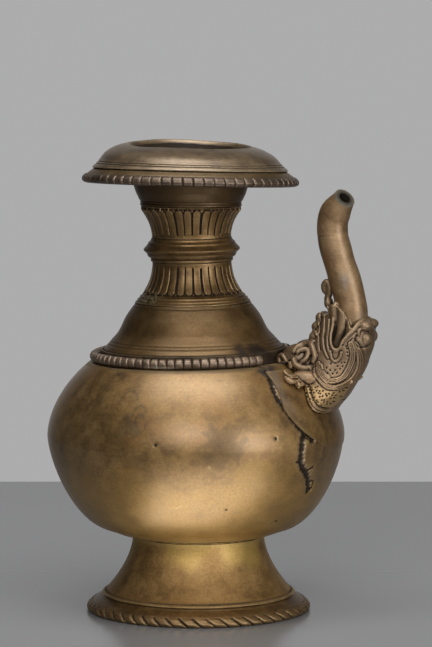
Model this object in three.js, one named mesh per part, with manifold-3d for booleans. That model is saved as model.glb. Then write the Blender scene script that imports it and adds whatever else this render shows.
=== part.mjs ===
// A ritual water pot of brass, as made in the Kathmandu valley: a splayed foot with a rope border,
// a squat globular body, a beaded collar, a bell-shaped shoulder, a waisted neck with two bands of
// lotus petals round a ring, a wide domed rim with a beaded edge, and a spout that rises out of the
// jaws of a makara, a water beast. Every piece was raised or cast by itself and then soldered.
// Millimetres, +Z up. The spout points along +X, and the origin lies on the ground under the middle
// of the pot's length.

import * as THREE from "three";
import { mergeVertices } from "three/addons/utils/BufferGeometryUtils.js";
import Module from "manifold-3d";

const wasm = await Module();
wasm.setup();

// Clearance that the solder fills between two touching pieces.
const seamGap = 0.3;

// Foot: a raised sheet that flares down onto a cast border.
const footSheet = 1.6;
const footTopRadius = 33;
const footTopHeight = 37.7;
const footEdgeRadius = 48;
const footFlarePower = 1.8;
const footBorderReach = 8.2;
const footBorderHeight = 8.2;
const footBorderSeat = 4.4;
const footBorderOverlap = 2.2;
const ropeStrands = 52;
const ropeDepth = 1.1;
const ropeSlant = 1.5;

// Braze ring between the foot and the body.
const footSeamHeight = 0.8;
const footSeamWidth = 2.2;

// Body: a raised shell, widest a little above the middle. Both halves of its side are parts of a
// superellipse round a centre that lies off the axis.
const bodySheet = 2;
const bodyRadius = 74.3;
const bodyHeelRadius = 47.6;
const bodyHeelRise = 3.8;
const bodyBowlHeight = 45.6;
const bodyBowlFullness = 1.55;
const bodyDomeAim = 23.6;
const bodyDomeHeight = 49.5;
const bodyDomeFullness = 1.72;
const bodyLedgeWidth = 3.4;

// Collar of beads round the shoulder, which stops short of the spout on both sides.
const collarBeads = 76;
const collarRadius = 49.6;
const collarBeadRadius = 2.7;
const collarWaistRadius = 2;
const collarBreakAngle = 33;

// Bell-shaped shoulder between the body and the neck.
const bellSheet = 1.7;
const bellSkirtHeight = 6.6;
const bellHeight = 28.8;
const bellFlareRadius = 44.6;
const bellCrownRadius = 33.6;
const bellTopRadius = 28.8;

// Neck: two bands of petals, one on each side of a ring.
const neckWall = 3.2;
const petalCount = 32;
const petalDepth = 0.9;
const petalBandEdge = 2;
const lowerPetalHeight = 20.2;
const lowerPetalSetback = 4.3;
const lowerPetalLedgeSetback = 2.6;
const lowerBoreSetback = 4.4;
const lowerPetalLedgeRise = 3;
const lowerPetalTipRise = 4.8;
const neckWaistRadius = 19.8;
const knopHeight = 11.7;
const knopReach = 4.3;
const upperPetalHeight = 15.2;
const upperPetalReach = 5.2;

// Mouth funnel, which turns out into the flat flange that carries the rim.
const funnelSheet = 1.5;
const funnelLedgeHeight = 1.6;
const funnelLedgeReach = 0.3;
const funnelTopRadius = 28.8;
const funnelHeight = 11.3;
const flangeRadius = 48;

// Rim: a dome that turns over inwards to the mouth, and a beaded border round its edge.
const rimSheet = 1.5;
const domeHeight = 17.3;
const brimReach = 0.8;
const brimThickness = 0.4;
const domeSkirtHeight = 5.2;
const crestRadius = 31.5;
const mouthRadius = 26.1;
const lipDrop = 6.6;
const lipRoundness = 1.2;
const rimBorderWidth = 5.9;
const rimBorderDrop = 0.8;
const rimBeads = 64;
const rimBeadDepth = 0.9;

// Saddle: a shield-shaped plate that lies on the body under the spout.
const saddleSheet = 0.9;
const saddleSetback = 2;
const saddleTopHalfWidth = 32;
const saddleHalfWidth = 40;
const saddleShoulderHeight = 17;
const saddleRoundHeight = 23;

// Spout: a tube out of the makara's jaws, and a separate bent tip.
const spoutWall = 1.9;
const tubeRadiusLow = 8.2;
const tubeRadiusHigh = 7.7;
const tubeFootRise = 41.5;
const tipSeamRise = 100.5;
const tipEndRadius = 5.4;
const tipBore = 2.9;
const tipSlantDepth = 1.6;
const tipTaperFrom = 0.9;
const tipFacing = [0.6, -0.42, 0.66];

// The makara's head: its relief stands proud by these radii.
const lipRadius = 1.4;
const cheekRadius = 1.2;
const hairRadius = 1.3;
const hemWidth = 1.5;
const hemHeight = 1.9;
const headReach = 30;
const earRadius = 1.7;
const pearlRadius = 1.8;
const curlRadius = 1.5;
const scaleRadius = 2.5;
const gumThickness = 1.6;
const gumFolds = 11;

// The old pot has settled: the body was soldered on off the foot's centre, the pot leans more and
// more above it, and the rim is bent.
const bodyShift = 0.8;
const bodyShiftTowards = 195;
const leanAngle = 1.42;
const leanTowards = 150;
const rimTiltAngle = 3.3;
const rimTiltTowards = 62;
const crestTiltAngle = 3;
const crestTiltTowards = -4;

// Facets.
const roundSteps = 32;
const degrees = Math.PI / 180;

// Radii and heights that follow from the sizes above.
const footBorderRadius = footEdgeRadius + footBorderReach;
const bellSkirtRadius = collarRadius - collarBeadRadius - seamGap;
const bodyShoulderRadius = collarRadius + collarBeadRadius + seamGap;
const bodyMouthRadius = bellSkirtRadius - bellSheet - bodyLedgeWidth;
const lowerPetalFoot = bellTopRadius - lowerPetalSetback;
const neckBore = neckWaistRadius - neckWall;
const upperPetalTop = neckWaistRadius + upperPetalReach;
const brimRadius = flangeRadius + brimReach;
const rimBorderInner = flangeRadius + seamGap;
const rimBorderRadius = rimBorderInner + rimBorderWidth;
const spoutBore = tubeRadiusHigh - spoutWall;
const domeShare = (bodyShoulderRadius - bodyDomeAim) / (bodyRadius - bodyDomeAim);
const domeTurn = Math.acos(domeShare ** (bodyDomeFullness / 2));
const bodyShoulderRise = bodyDomeHeight * Math.sin(domeTurn) ** (2 / bodyDomeFullness);
const bodyFloorHeight = footTopHeight + 2 * seamGap + footSeamHeight;
const bodyWidestHeight = bodyFloorHeight + bodyHeelRise + bodyBowlHeight;
const bodyShoulderHeight = bodyWidestHeight + bodyShoulderRise;
const bellFootHeight = bodyShoulderHeight + seamGap;
const bellTopHeight = bellFootHeight + bellHeight;
const lowerPetalFootHeight = bellTopHeight + seamGap;
const knopFootHeight = lowerPetalFootHeight + lowerPetalHeight + seamGap;
const upperPetalFootHeight = knopFootHeight + knopHeight + seamGap;
const funnelFootHeight = upperPetalFootHeight + upperPetalHeight + seamGap;
const flangeHeight = funnelFootHeight + funnelHeight;
const domeFootHeight = flangeHeight + funnelSheet + seamGap;
const crestHeight = domeFootHeight + domeHeight;
const tubeFootHeight = bodyWidestHeight + tubeFootRise;
const tipSeamHeight = bodyWidestHeight + tipSeamRise;

// The spout and the makara's head are laid out from the body's widest circle: how far out from it,
// how far up, and how far aside. The first line is the one that the water follows up the spout.
const spoutLine = new THREE.CatmullRomCurve3(
  [
    [-19.3, 15.5],
    [-11.3, 24],
    [-4.3, 32.5],
    [1.7, 41.5],
    [5.5, 50.5],
    [7.1, 59.5],
    [6.4, 68.5],
    [4, 78.3],
    [0.5, 90],
    [-1.8, 100.5],
    [-1.1, 109.5],
    [6.1, 120.1, -2.8],
  ].map(([out, up, aside = 0]) => new THREE.Vector3(bodyRadius + out, aside, bodyWidestHeight + up)),
);

// Carries a geometry that is laid out from the body's widest circle to its place.
const atBelly = (geometry) => geometry.translate(bodyRadius, 0, bodyWidestHeight);

const points = (pairs) => pairs.map(([r, z]) => new THREE.Vector2(r, z));

const smooth = (t) => {
  const c = Math.min(1, Math.max(0, t));
  return c * c * (3 - 2 * c);
};

// How far a level surface has sunk at a place, when it is tilted towards a direction.
function sunk(p, angle, towards) {
  const along = p.x * Math.cos(towards * degrees) + p.y * Math.sin(towards * degrees);
  return along * Math.tan(angle * degrees);
}

// Moves one point of the straight pot to where the settled pot has it.
function settlePoint(p) {
  const onRim = Math.hypot(p.x, p.y) < rimBorderRadius + seamGap ? 1 : 0;
  const rise = onRim * smooth((p.z - upperPetalFootHeight) / (flangeHeight - upperPetalFootHeight));
  const overBrim = p.z - domeFootHeight - domeSkirtHeight;
  const crestShare = smooth(overBrim / (domeHeight - domeSkirtHeight));
  const rimSunk = sunk(p, rimTiltAngle, rimTiltTowards);
  const crestSunk = sunk(p, crestTiltAngle, crestTiltTowards);
  p.z -= rise * (rimSunk + (crestSunk - rimSunk) * crestShare);
  const pivot = new THREE.Vector3(0, 0, footTopHeight);
  const across = (leanTowards + 90) * degrees;
  const axis = new THREE.Vector3(Math.cos(across), Math.sin(across), 0);
  const leant = smooth((p.z - footTopHeight) / (bodyShoulderHeight - footTopHeight));
  p.sub(pivot).applyAxisAngle(axis, leanAngle * degrees * leant).add(pivot);
  if (p.z > bodyFloorHeight - seamGap) {
    p.x += bodyShift * Math.cos(bodyShiftTowards * degrees);
    p.y += bodyShift * Math.sin(bodyShiftTowards * degrees);
  }
  return p;
}

// Settles a whole geometry.
function settle(geometry) {
  const position = geometry.getAttribute("position");
  const p = new THREE.Vector3();
  for (let i = 0; i < position.count; i++) {
    settlePoint(p.fromBufferAttribute(position, i));
    position.setXYZ(i, p.x, p.y, p.z);
  }
  return geometry;
}

// Turns a closed profile of (radius, height) points round the Z axis.
function revolve(profile, steps = roundSteps) {
  return new THREE.LatheGeometry(profile, steps).rotateX(Math.PI / 2);
}

// Moves an outline sideways: to its right as it runs, by the given distance.
function offsetOutline(outline, distance) {
  return outline.map((p, i) => {
    const before = outline[Math.max(0, i - 1)];
    const after = outline[Math.min(outline.length - 1, i + 1)];
    const along = after.clone().sub(before).normalize();
    return new THREE.Vector2(p.x + along.y * distance, p.y - along.x * distance);
  });
}

// The closed profile of a sheet: an outline that runs upwards on the outside, and its inner face,
// which follows every second point of it.
function sheetProfile(outline, thickness) {
  const last = outline.length - 1;
  const inner = offsetOutline(outline, -thickness).filter((p, i) => i === 0 || (last - i) % 2 === 0);
  return [...outline, ...inner.reverse(), outline[0].clone()];
}

// Points of a quarter superellipse from its widest point towards its top or bottom.
function superellipse(centreRadius, centreHeight, spanRadius, spanHeight, exponent, endShare, steps) {
  return Array.from({ length: steps + 1 }, (_, i) => {
    const t = ((i / steps) * endShare * Math.PI) / 2;
    const r = centreRadius + spanRadius * Math.cos(t) ** (2 / exponent);
    const z = centreHeight + spanHeight * Math.sin(t) ** (2 / exponent);
    return new THREE.Vector2(r, z);
  });
}

// A ring whose section changes as it goes round. sectionAt(row, column) gives radius, height and the
// share of a column by which that point is carried round.
function patternedRing(rows, columns, sectionAt, arc = 2 * Math.PI, start = 0) {
  const closed = arc > 2 * Math.PI - 1e-6;
  const count = closed ? columns : columns + 1;
  const position = [];
  const index = [];
  for (let c = 0; c < count; c++) {
    for (let r = 0; r < rows; r++) {
      const [radius, height, carried = 0] = sectionAt(r, c);
      const angle = start + ((c + carried) / columns) * arc;
      position.push(radius * Math.cos(angle), radius * Math.sin(angle), height);
    }
  }
  for (let c = 0; c < columns; c++) {
    for (let r = 0; r < rows; r++) {
      const next = (c + 1) % count;
      const above = (r + 1) % rows;
      const a = c * rows + r;
      const b = next * rows + r;
      const d = c * rows + above;
      const e = next * rows + above;
      index.push(a, b, e, a, e, d);
    }
  }
  if (!closed) {
    for (let r = 1; r < rows - 1; r++) {
      const last = (count - 1) * rows;
      index.push(0, r, r + 1);
      index.push(last, last + r + 1, last + r);
    }
  }
  return indexed(position, index);
}

// A closed surface through rings of points of equal, even number, capped at both ends.
function loft(rings) {
  const sides = rings[0].length;
  const position = rings.flat().flatMap((p) => [p.x, p.y, p.z]);
  const index = [];
  for (let k = 0; k < rings.length - 1; k++) {
    for (let i = 0; i < sides; i++) {
      const a = k * sides + i;
      const b = k * sides + ((i + 1) % sides);
      index.push(a, b, b + sides, a, b + sides, a + sides);
    }
  }
  const last = (rings.length - 1) * sides;
  for (let i = 0; i < sides / 2 - 1; i++) {
    const [a, b, c, d] = [i, i + 1, sides - 2 - i, sides - 1 - i];
    index.push(a, c, b, a, d, c);
    index.push(last + a, last + b, last + c, last + a, last + c, last + d);
  }
  return indexed(position, index);
}

function indexed(position, index) {
  const geometry = new THREE.BufferGeometry();
  geometry.setAttribute("position", new THREE.Float32BufferAttribute(position, 3));
  geometry.setIndex(index);
  return geometry;
}

// A round bar along a curve, whose radius changes along it. flatten squeezes it across the Y axis.
function bar(curve, steps, sides, radiusAt, from = 0, to = 1, flatten = 1) {
  const side = new THREE.Vector3(0, 1, 0);
  const rings = Array.from({ length: steps + 1 }, (_, k) => {
    const u = from + (to - from) * (k / steps);
    const centre = curve.getPointAt(u);
    const along = curve.getTangentAt(u);
    const across = new THREE.Vector3().crossVectors(side, along).normalize();
    const over = new THREE.Vector3().crossVectors(along, across).normalize();
    const radius = radiusAt(u);
    return Array.from({ length: sides }, (_, i) => {
      const t = (2 * Math.PI * i) / sides;
      return centre
        .clone()
        .addScaledVector(across, radius * Math.cos(t))
        .addScaledVector(over, radius * Math.sin(t) * flatten);
    });
  });
  return loft(rings);
}

// How far along the spout line, as a share of its length, a height is passed.
function spoutShare(height) {
  let low = 0;
  let high = 1;
  for (let i = 0; i < 40; i++) {
    const mid = (low + high) / 2;
    if (spoutLine.getPointAt(mid).z < height) low = mid;
    else high = mid;
  }
  return (low + high) / 2;
}

// A geometry as a solid for cutting and joining, and back.
function solidOf(geometry) {
  const bare = new THREE.BufferGeometry();
  bare.setAttribute("position", geometry.getAttribute("position").clone());
  bare.setIndex(geometry.index ? geometry.index.clone() : null);
  const merged = mergeVertices(bare, 1e-4);
  const vertProperties = new Float32Array(merged.attributes.position.array);
  const triVerts = new Uint32Array(merged.index.array);
  return new wasm.Manifold(new wasm.Mesh({ numProp: 3, vertProperties, triVerts }));
}

function geometryOf(solid) {
  const mesh = solid.getMesh();
  return indexed(Array.from(mesh.vertProperties), Array.from(mesh.triVerts));
}

// The foot: a sheet that flares from the joint under the body to the border.
function footFlare() {
  const low = footBorderHeight + seamGap;
  const steps = 5;
  const outline = Array.from({ length: steps + 1 }, (_, i) => {
    const down = 1 - i / steps;
    const r = footTopRadius + (footEdgeRadius - footTopRadius) * down ** footFlarePower;
    return new THREE.Vector2(r, low + (footTopHeight - low) * (1 - down));
  });
  const inner = outline.filter((p, i) => i % 2 === 1 || i === 0);
  const moved = inner.map((p) => new THREE.Vector2(p.x - footSheet, p.y)).reverse();
  return revolve([...outline, ...moved, outline[0].clone()]);
}

// The foot's border: a cast ring whose edge is a twisted rope. A rope row gives how far it lies in
// from the edge, its share of the height and its share of the grooves' depth.
const ropeRows = [
  [1, 0, 0],
  [0, 0.16, 1],
  [1.5, 0.44, 1],
];

function footBorder() {
  const collar = footEdgeRadius + seamGap;
  const plain = [
    [collar, 0.9 * footBorderHeight],
    [footEdgeRadius - footBorderOverlap, footBorderHeight],
    [footBorderRadius - ropeRows[0][0] - footBorderSeat, 0],
  ];
  return patternedRing(ropeRows.length + plain.length, 2 * ropeStrands, (row, column) => {
    if (row >= ropeRows.length) return [...plain[row - ropeRows.length], -ropeSlant];
    const [inset, up, share] = ropeRows[row];
    const groove = column % 2 ? ropeDepth * share : 0;
    const carried = (-row * ropeSlant) / ropeRows.length;
    return [footBorderRadius - inset - groove, up * footBorderHeight, carried];
  });
}

function footSeam() {
  const low = footTopHeight + seamGap;
  const high = low + footSeamHeight;
  const outer = footTopRadius + seamGap;
  const inner = outer - footSeamWidth;
  return revolve(
    points([
      [inner, low],
      [outer, low],
      [outer, high],
      [inner, high],
      [inner, low],
    ]),
  );
}

// The body's outside from the heel up to the seat of the collar.
function bodySide(steps = 6) {
  const bowl = superellipse(
    bodyHeelRadius,
    bodyWidestHeight,
    bodyRadius - bodyHeelRadius,
    -bodyBowlHeight,
    bodyBowlFullness,
    1,
    steps,
  ).reverse();
  const dome = superellipse(
    bodyDomeAim,
    bodyWidestHeight,
    bodyRadius - bodyDomeAim,
    bodyDomeHeight,
    bodyDomeFullness,
    domeTurn / (Math.PI / 2),
    steps,
  );
  return [...bowl, ...dome.slice(1)];
}

function bodyShell() {
  const side = bodySide();
  const shoulder = side[side.length - 1];
  const ceiling = shoulder.y - bodySheet;
  const inset = offsetOutline(side, -bodySheet).filter((p, i) => i % 2 && p.y < ceiling - bodySheet);
  return revolve([
    new THREE.Vector2(0, bodyFloorHeight),
    new THREE.Vector2(footTopRadius, bodyFloorHeight),
    ...side,
    new THREE.Vector2(bodyMouthRadius, shoulder.y),
    new THREE.Vector2(bodyMouthRadius, ceiling),
    new THREE.Vector2(shoulder.x - bodySheet, ceiling),
    ...inset.reverse(),
    new THREE.Vector2(footTopRadius, bodyFloorHeight + bodySheet),
    new THREE.Vector2(0, bodyFloorHeight + bodySheet),
  ]);
}

// The collar: a string of beads that lies on the body's shoulder round the bell's skirt.
function beadCollar() {
  const centreHeight = bodyShoulderHeight + seamGap + collarBeadRadius;
  const rows = 5;
  const arc = (360 - 2 * collarBreakAngle) * degrees;
  const beads = Math.round((collarBeads * arc) / (2 * Math.PI));
  return patternedRing(
    rows,
    2 * beads,
    (row, column) => {
      const radius = column % 2 ? collarBeadRadius : collarWaistRadius;
      const t = (2 * Math.PI * row) / rows - Math.PI / 2;
      const drop = collarBeadRadius - radius;
      return [collarRadius + radius * Math.cos(t), centreHeight - drop + radius * Math.sin(t)];
    },
    arc,
    collarBreakAngle * degrees,
  );
}

// The bell's flare, as shares of the way in from its flare to its crown, and of the way up.
const bellFlareShares = [
  [0, 0],
  [0.26, 0.15],
  [0.64, 0.36],
  [1, 0.7],
];

// The bell's outside: skirt, flare, crown and the turn in to the neck.
function bellOutline() {
  const flareHeight = bellFootHeight + bellSkirtHeight;
  const flare = bellFlareShares.map(([inwards, up]) => [
    bellFlareRadius + (bellCrownRadius - bellFlareRadius) * inwards,
    flareHeight + (bellTopHeight - flareHeight) * up,
  ]);
  return [
    new THREE.Vector2(bellSkirtRadius, bellFootHeight),
    new THREE.Vector2(bellSkirtRadius, flareHeight - bellSheet / 2),
    ...new THREE.SplineCurve(points([...flare, [bellTopRadius, bellTopHeight]])).getPoints(6),
  ];
}

function shoulderBell() {
  return revolve(sheetProfile(bellOutline(), bellSheet));
}

// A band of petals round the neck's bore: rows of radius, height and share of the grooves' depth.
function petalBand(rows, lowBore) {
  const [foot, top] = [rows[0][1], rows[rows.length - 1][1]];
  const bore = [
    [neckBore, top],
    [lowBore, foot],
  ];
  const columnsPerPetal = 2;
  return patternedRing(rows.length + bore.length, columnsPerPetal * petalCount, (row, column) => {
    if (row >= rows.length) return bore[row - rows.length];
    const [r, z, share] = rows[row];
    const groove = column % columnsPerPetal === 0 ? petalDepth * share : 0;
    return [r - groove, z];
  });
}

// Rows of petals between two heights: they spread out from the waist to a radius, up or down.
function petalRows(low, high, spreadRadius, spreadsUp, bulge) {
  const steps = 3;
  return Array.from({ length: steps + 1 }, (_, i) => {
    const up = i / steps;
    const spread = spreadsUp ? up : 1 - up;
    const r = neckWaistRadius + (spreadRadius - neckWaistRadius) * spread ** bulge;
    return [r, low + (high - low) * up, spread === 1 ? 0.5 : 1];
  });
}

function lowerPetals() {
  const foot = lowerPetalFootHeight;
  const top = foot + lowerPetalHeight;
  const tips = foot + lowerPetalTipRise;
  const petals = petalRows(tips, top - petalBandEdge / 2, lowerPetalFoot, false, 2.2);
  const ledge = [
    [bellTopRadius, foot, 0],
    [bellTopRadius - lowerPetalLedgeSetback, foot + lowerPetalLedgeRise, 0],
  ];
  const rows = [...ledge, ...petals, [neckWaistRadius, top, 0]];
  return petalBand(rows, bellTopRadius - lowerBoreSetback);
}

function upperPetals() {
  const foot = upperPetalFootHeight;
  const top = foot + upperPetalHeight;
  const petals = petalRows(foot + petalBandEdge / 2, top - petalBandEdge, upperPetalTop, true, 2);
  const rows = [[neckWaistRadius, foot, 0], ...petals, [upperPetalTop, top, 0]];
  return petalBand(rows, neckBore);
}

// The ring between the two bands of petals, as shares of its reach beyond the waist and its height.
const knopShares = [
  [0.16, 0],
  [0.09, 0.13],
  [0.51, 0.27],
  [1, 0.44],
  [1, 0.58],
  [0.49, 0.76],
  [0.12, 0.9],
  [0.05, 1],
];

function neckKnop() {
  const foot = knopFootHeight;
  const side = knopShares.map(([out, up]) => [neckWaistRadius + knopReach * out, foot + knopHeight * up]);
  return revolve(points([[neckBore, foot], ...side, [neckBore, foot + knopHeight], [neckBore, foot]]));
}

// The funnel over the neck, which turns out into a flat flange.
function mouthFunnel() {
  const foot = funnelFootHeight;
  const ledge = upperPetalTop + funnelLedgeReach;
  const middle = foot + funnelHeight / 2;
  const bend = funnelTopRadius - funnelSheet;
  const top = flangeHeight + funnelSheet;
  return revolve(
    points([
      [neckBore, foot],
      [ledge, foot],
      [ledge, foot + funnelLedgeHeight],
      [bend, middle],
      [funnelTopRadius, flangeHeight],
      [flangeRadius, flangeHeight],
      [flangeRadius, top],
      [bend, top],
      [bend - 2 * funnelSheet, middle],
      [neckBore, foot + funnelSheet],
      [neckBore, foot],
    ]),
  );
}

// The dome of the rim, as shares of the way in from the brim to the crest, and of the way up.
const domeShares = [
  [0, 0.05],
  [0.2, 0.32],
  [0.37, 0.61],
  [0.67, 0.86],
  [1, 1],
];

// The rim's outside: skirt, brim, dome, crest and the lip that turns down into the mouth.
function domeOutline() {
  const foot = domeFootHeight;
  const edge = foot + domeSkirtHeight;
  const dome = domeShares.map(([inwards, up]) => [
    brimRadius + (crestRadius - brimRadius) * inwards,
    edge + (crestHeight - edge) * up,
  ]);
  const lip = [
    [mouthRadius + lipRoundness, crestHeight - 1.6 * lipRoundness],
    [mouthRadius, crestHeight - lipDrop],
  ];
  return [
    new THREE.Vector2(flangeRadius, foot),
    new THREE.Vector2(flangeRadius, edge - brimThickness),
    new THREE.Vector2(brimRadius, edge),
    ...new THREE.SplineCurve(points([...dome, ...lip])).getPoints(8),
  ];
}

function rimDome() {
  return revolve(sheetProfile(domeOutline(), rimSheet));
}

// The beaded border round the rim. A row gives how far it lies in from the edge, its share of the
// height and its share of the beads' relief.
const rimBorderShares = [
  [1.2, 0, 0.5],
  [0, 0.28, 1],
  [1.1, 0.66, 0.7],
];

function rimBorder() {
  const low = flangeHeight - rimBorderDrop;
  const high = domeFootHeight + domeSkirtHeight - brimThickness - seamGap;
  const beads = rimBorderShares.map(([inset, up, share]) => [
    rimBorderRadius - inset,
    low + (high - low) * up,
    share,
  ]);
  const rows = [[rimBorderInner, low, 0], ...beads, [rimBorderInner, high, 0]];
  return patternedRing(rows.length, 2 * rimBeads, (row, column) => {
    const [r, z, share] = rows[row];
    return [r - (column % 2 ? rimBeadDepth * share : 0), z];
  });
}

// A solid of revolution that fills the pot out to a distance outside an outline.
function envelope(outline, distance) {
  const moved = offsetOutline(outline, distance);
  const first = moved[0];
  const last = moved[moved.length - 1];
  return revolve([new THREE.Vector2(0, first.y), ...moved, new THREE.Vector2(0, last.y)]);
}

// The hole that carries the water from the body into the spout.
function spoutChannel() {
  return bar(spoutLine, 6, 12, () => spoutBore + seamGap, 0, spoutShare(tubeFootHeight + seamGap));
}

// The saddle: a shield-shaped plate bent to the body under the spout.
function saddlePlate() {
  const top = bodyShoulderHeight - saddleSetback;
  const widest = top - saddleShoulderHeight;
  const shield = new THREE.Shape();
  shield.moveTo(-saddleTopHalfWidth, top);
  shield.lineTo(-saddleHalfWidth, widest);
  shield.absellipse(0, widest, saddleHalfWidth, saddleRoundHeight, Math.PI, 2 * Math.PI, false);
  shield.lineTo(saddleTopHalfWidth, top);
  const reach = 2 * bodyRadius;
  const prism = new THREE.ExtrudeGeometry(shield, {
    depth: reach,
    bevelEnabled: false,
    curveSegments: 10,
  });
  prism.rotateX(Math.PI / 2).rotateZ(Math.PI / 2);
  return solidOf(envelope(bodySide(), seamGap + saddleSheet))
    .intersect(solidOf(prism))
    .subtract(solidOf(envelope(bodySide(), seamGap)));
}

// The makara's head, as level slices: how far up, back edge, front edge and half width.
const headSlices = [
  [9.5, -12.3, -4.3, 18],
  [15, -17.3, -0.3, 23],
  [20.5, -18.8, 4.7, 24.5],
  [26.5, -20, 8.9, 21.5],
  [32.5, -20, 13.1, 18],
  [39.5, -19.3, 16, 16.2],
  [46.5, -15.8, 18.5, 15.5],
  [53.5, -12.3, 18.6, 14],
  [61.5, -7.1, 14.2, 10.5],
];

// The head's slice at a height, and how wide the head is at a place on its flank.
function headSlice(height) {
  const above = headSlices.findIndex(([z]) => z >= height);
  const k = Math.max(1, above < 0 ? headSlices.length - 1 : above);
  const [low, high] = [headSlices[k - 1], headSlices[k]];
  const share = (height - low[0]) / (high[0] - low[0]);
  const [, back, front, half] = low.map((v, i) => v + (high[i] - v) * share);
  return { middle: (back + front) / 2, reach: (front - back) / 2, half };
}

function flank([x, z, out = 0], side) {
  const { middle, reach, half } = headSlice(z);
  const share = Math.min(0.97, Math.abs(x - middle) / reach);
  return new THREE.Vector3(x, side * (half * Math.sqrt(1 - share * share) + out), z);
}

const smoothCurve = (list) => new THREE.CatmullRomCurve3(list);
const sideCurve = (list, side) => smoothCurve(list.map(([x, y, z]) => new THREE.Vector3(x, side * y, z)));

// The curves of the head's relief on its flank: how far out and how far up.
const lipCurve = [
  [-3.7, 62.5],
  [-0.5, 56.9],
  [-1, 50.1],
  [0.1, 46.1],
  [2.5, 44.9],
  [4.9, 46.7],
  [6.9, 50.3],
  [9.7, 51.9],
  [12.7, 56.5],
  [15.7, 58.7],
  [17.5, 56.1],
];
const cheekCurve = [
  [-8.1, 33.5],
  [-6.5, 28.7],
  [-2.5, 25.8],
  [2.7, 25.8],
  [7.3, 29.1],
  [10.5, 35.9],
  [12.3, 43],
];

// The valley between the jaws, cut through the head above the lips.
function jawValley() {
  const lips = lipCurve.slice(0, -1);
  const above = lips[0][1] + 9;
  const shape = new THREE.Shape([
    ...smoothCurve(lips.map(([x, z]) => new THREE.Vector3(x, z, 0)))
      .getPoints(14)
      .map((p) => new THREE.Vector2(p.x, p.y)),
    new THREE.Vector2(lips[lips.length - 1][0], above),
    new THREE.Vector2(lips[0][0], above),
  ]);
  return wallOf(shape);
}

// A block as wide as the head whose side view is the given shape.
function wallOf(shape) {
  const block = new THREE.ExtrudeGeometry(shape, { depth: 2 * headReach, bevelEnabled: false });
  return block.translate(0, 0, -headReach).rotateX(Math.PI / 2);
}

// The side view of what is kept of the gum: it is cut off slantwise above the jaws.
const gumOutline = [
  [-14.3, 31.5],
  [9.7, 31.5],
  [9.7, 52.5],
  [0.2, 67.5],
  [-14.3, 67.5],
];

// The folded gum round the foot of the tube.
function foldedGum() {
  const from = spoutShare(tubeFootHeight - gumThickness);
  const to = spoutShare(bodyWidestHeight + gumOutline[3][1]);
  const steps = 3;
  const sides = 2 * gumFolds;
  const side = new THREE.Vector3(0, 1, 0);
  const rings = Array.from({ length: steps + 1 }, (_, k) => {
    const u = from + ((to - from) * k) / steps;
    const centre = spoutLine.getPointAt(u);
    const across = new THREE.Vector3().crossVectors(side, spoutLine.getTangentAt(u)).normalize();
    return Array.from({ length: sides }, (_, i) => {
      const t = (2 * Math.PI * i) / sides;
      const radius = tubeRadiusLow + seamGap + gumThickness * (i % 2 ? 0.4 : 1);
      return centre
        .clone()
        .addScaledVector(across, radius * Math.cos(t))
        .addScaledVector(side, radius * Math.sin(t));
    });
  });
  return solidOf(loft(rings)).intersect(solidOf(atBelly(wallOf(new THREE.Shape(points(gumOutline))))));
}

// The makara's curls and hair on one flank: how far out, aside and up.
const earCurl = [
  [-17.1, 12.6, 37.5],
  [-15.7, 11.8, 42.7],
  [-12.7, 11, 46.1],
  [-9.5, 12.6, 44.1],
  [-10.3, 14.2, 39.3],
];
const hairCurl = [
  [-18.3, 14, 39],
  [-19.7, 13.6, 42.3],
  [-22.9, 13.4, 41.9],
  [-23.7, 13.6, 38.7],
  [-21.1, 14.4, 37.9],
];
const hairStrand = [
  [-22.9, 14.6, 37.1],
  [-19.9, 16, 34.3],
  [-15.3, 16, 32.3],
  [-8.9, 16.6, 31.9],
];
const crownCurl = [
  [-6.3, 0, 58.5],
  [-6.7, 0, 66.5],
  [-6.8, 0, 72.5],
  [-5.3, 0, 74.9],
  [-4, 0, 71.9],
];
const crestScales = [
  [-8.3, 4.8, 56.1],
  [-10.3, 5.4, 52.1],
  [-12.5, 6, 48.1],
];
const hairSpacing = 2.4;

// The single beads of the head on one flank: place, radius and stretch along each axis.
const headBeads = [
  { at: [-18.8, 10.6, 36.9], radius: 6, stretch: [1.25, 1, 1] },
  { at: [-21.1, 12, 40.1], radius: 3 },
  { at: [13.9, 8.6, 49.5], radius: 5, stretch: [0.9, 0.8, 1.35] },
  { at: [1.7, 8, 65.5], radius: pearlRadius },
  { at: [6.9, 9.6, 56.5], radius: pearlRadius },
];

function roundBead([x, y, z], radius, [fx, fy, fz] = [1, 1, 1], sides = 6) {
  return new THREE.SphereGeometry(radius, sides, sides - 2).scale(fx, fy, fz).translate(x, y, z);
}

// The head's bare block, grown by a margin all round.
function skull(margin = 0) {
  const sides = 16;
  const slices = headSlices.map(([z, back, front, half]) =>
    Array.from({ length: sides }, (_, i) => {
      const t = (2 * Math.PI * i) / sides;
      const x = (back + front) / 2 + ((front - back) / 2 + margin) * Math.cos(t);
      return new THREE.Vector3(x, (half + margin) * Math.sin(t), z);
    }),
  );
  return solidOf(atBelly(loft(slices)));
}

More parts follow.
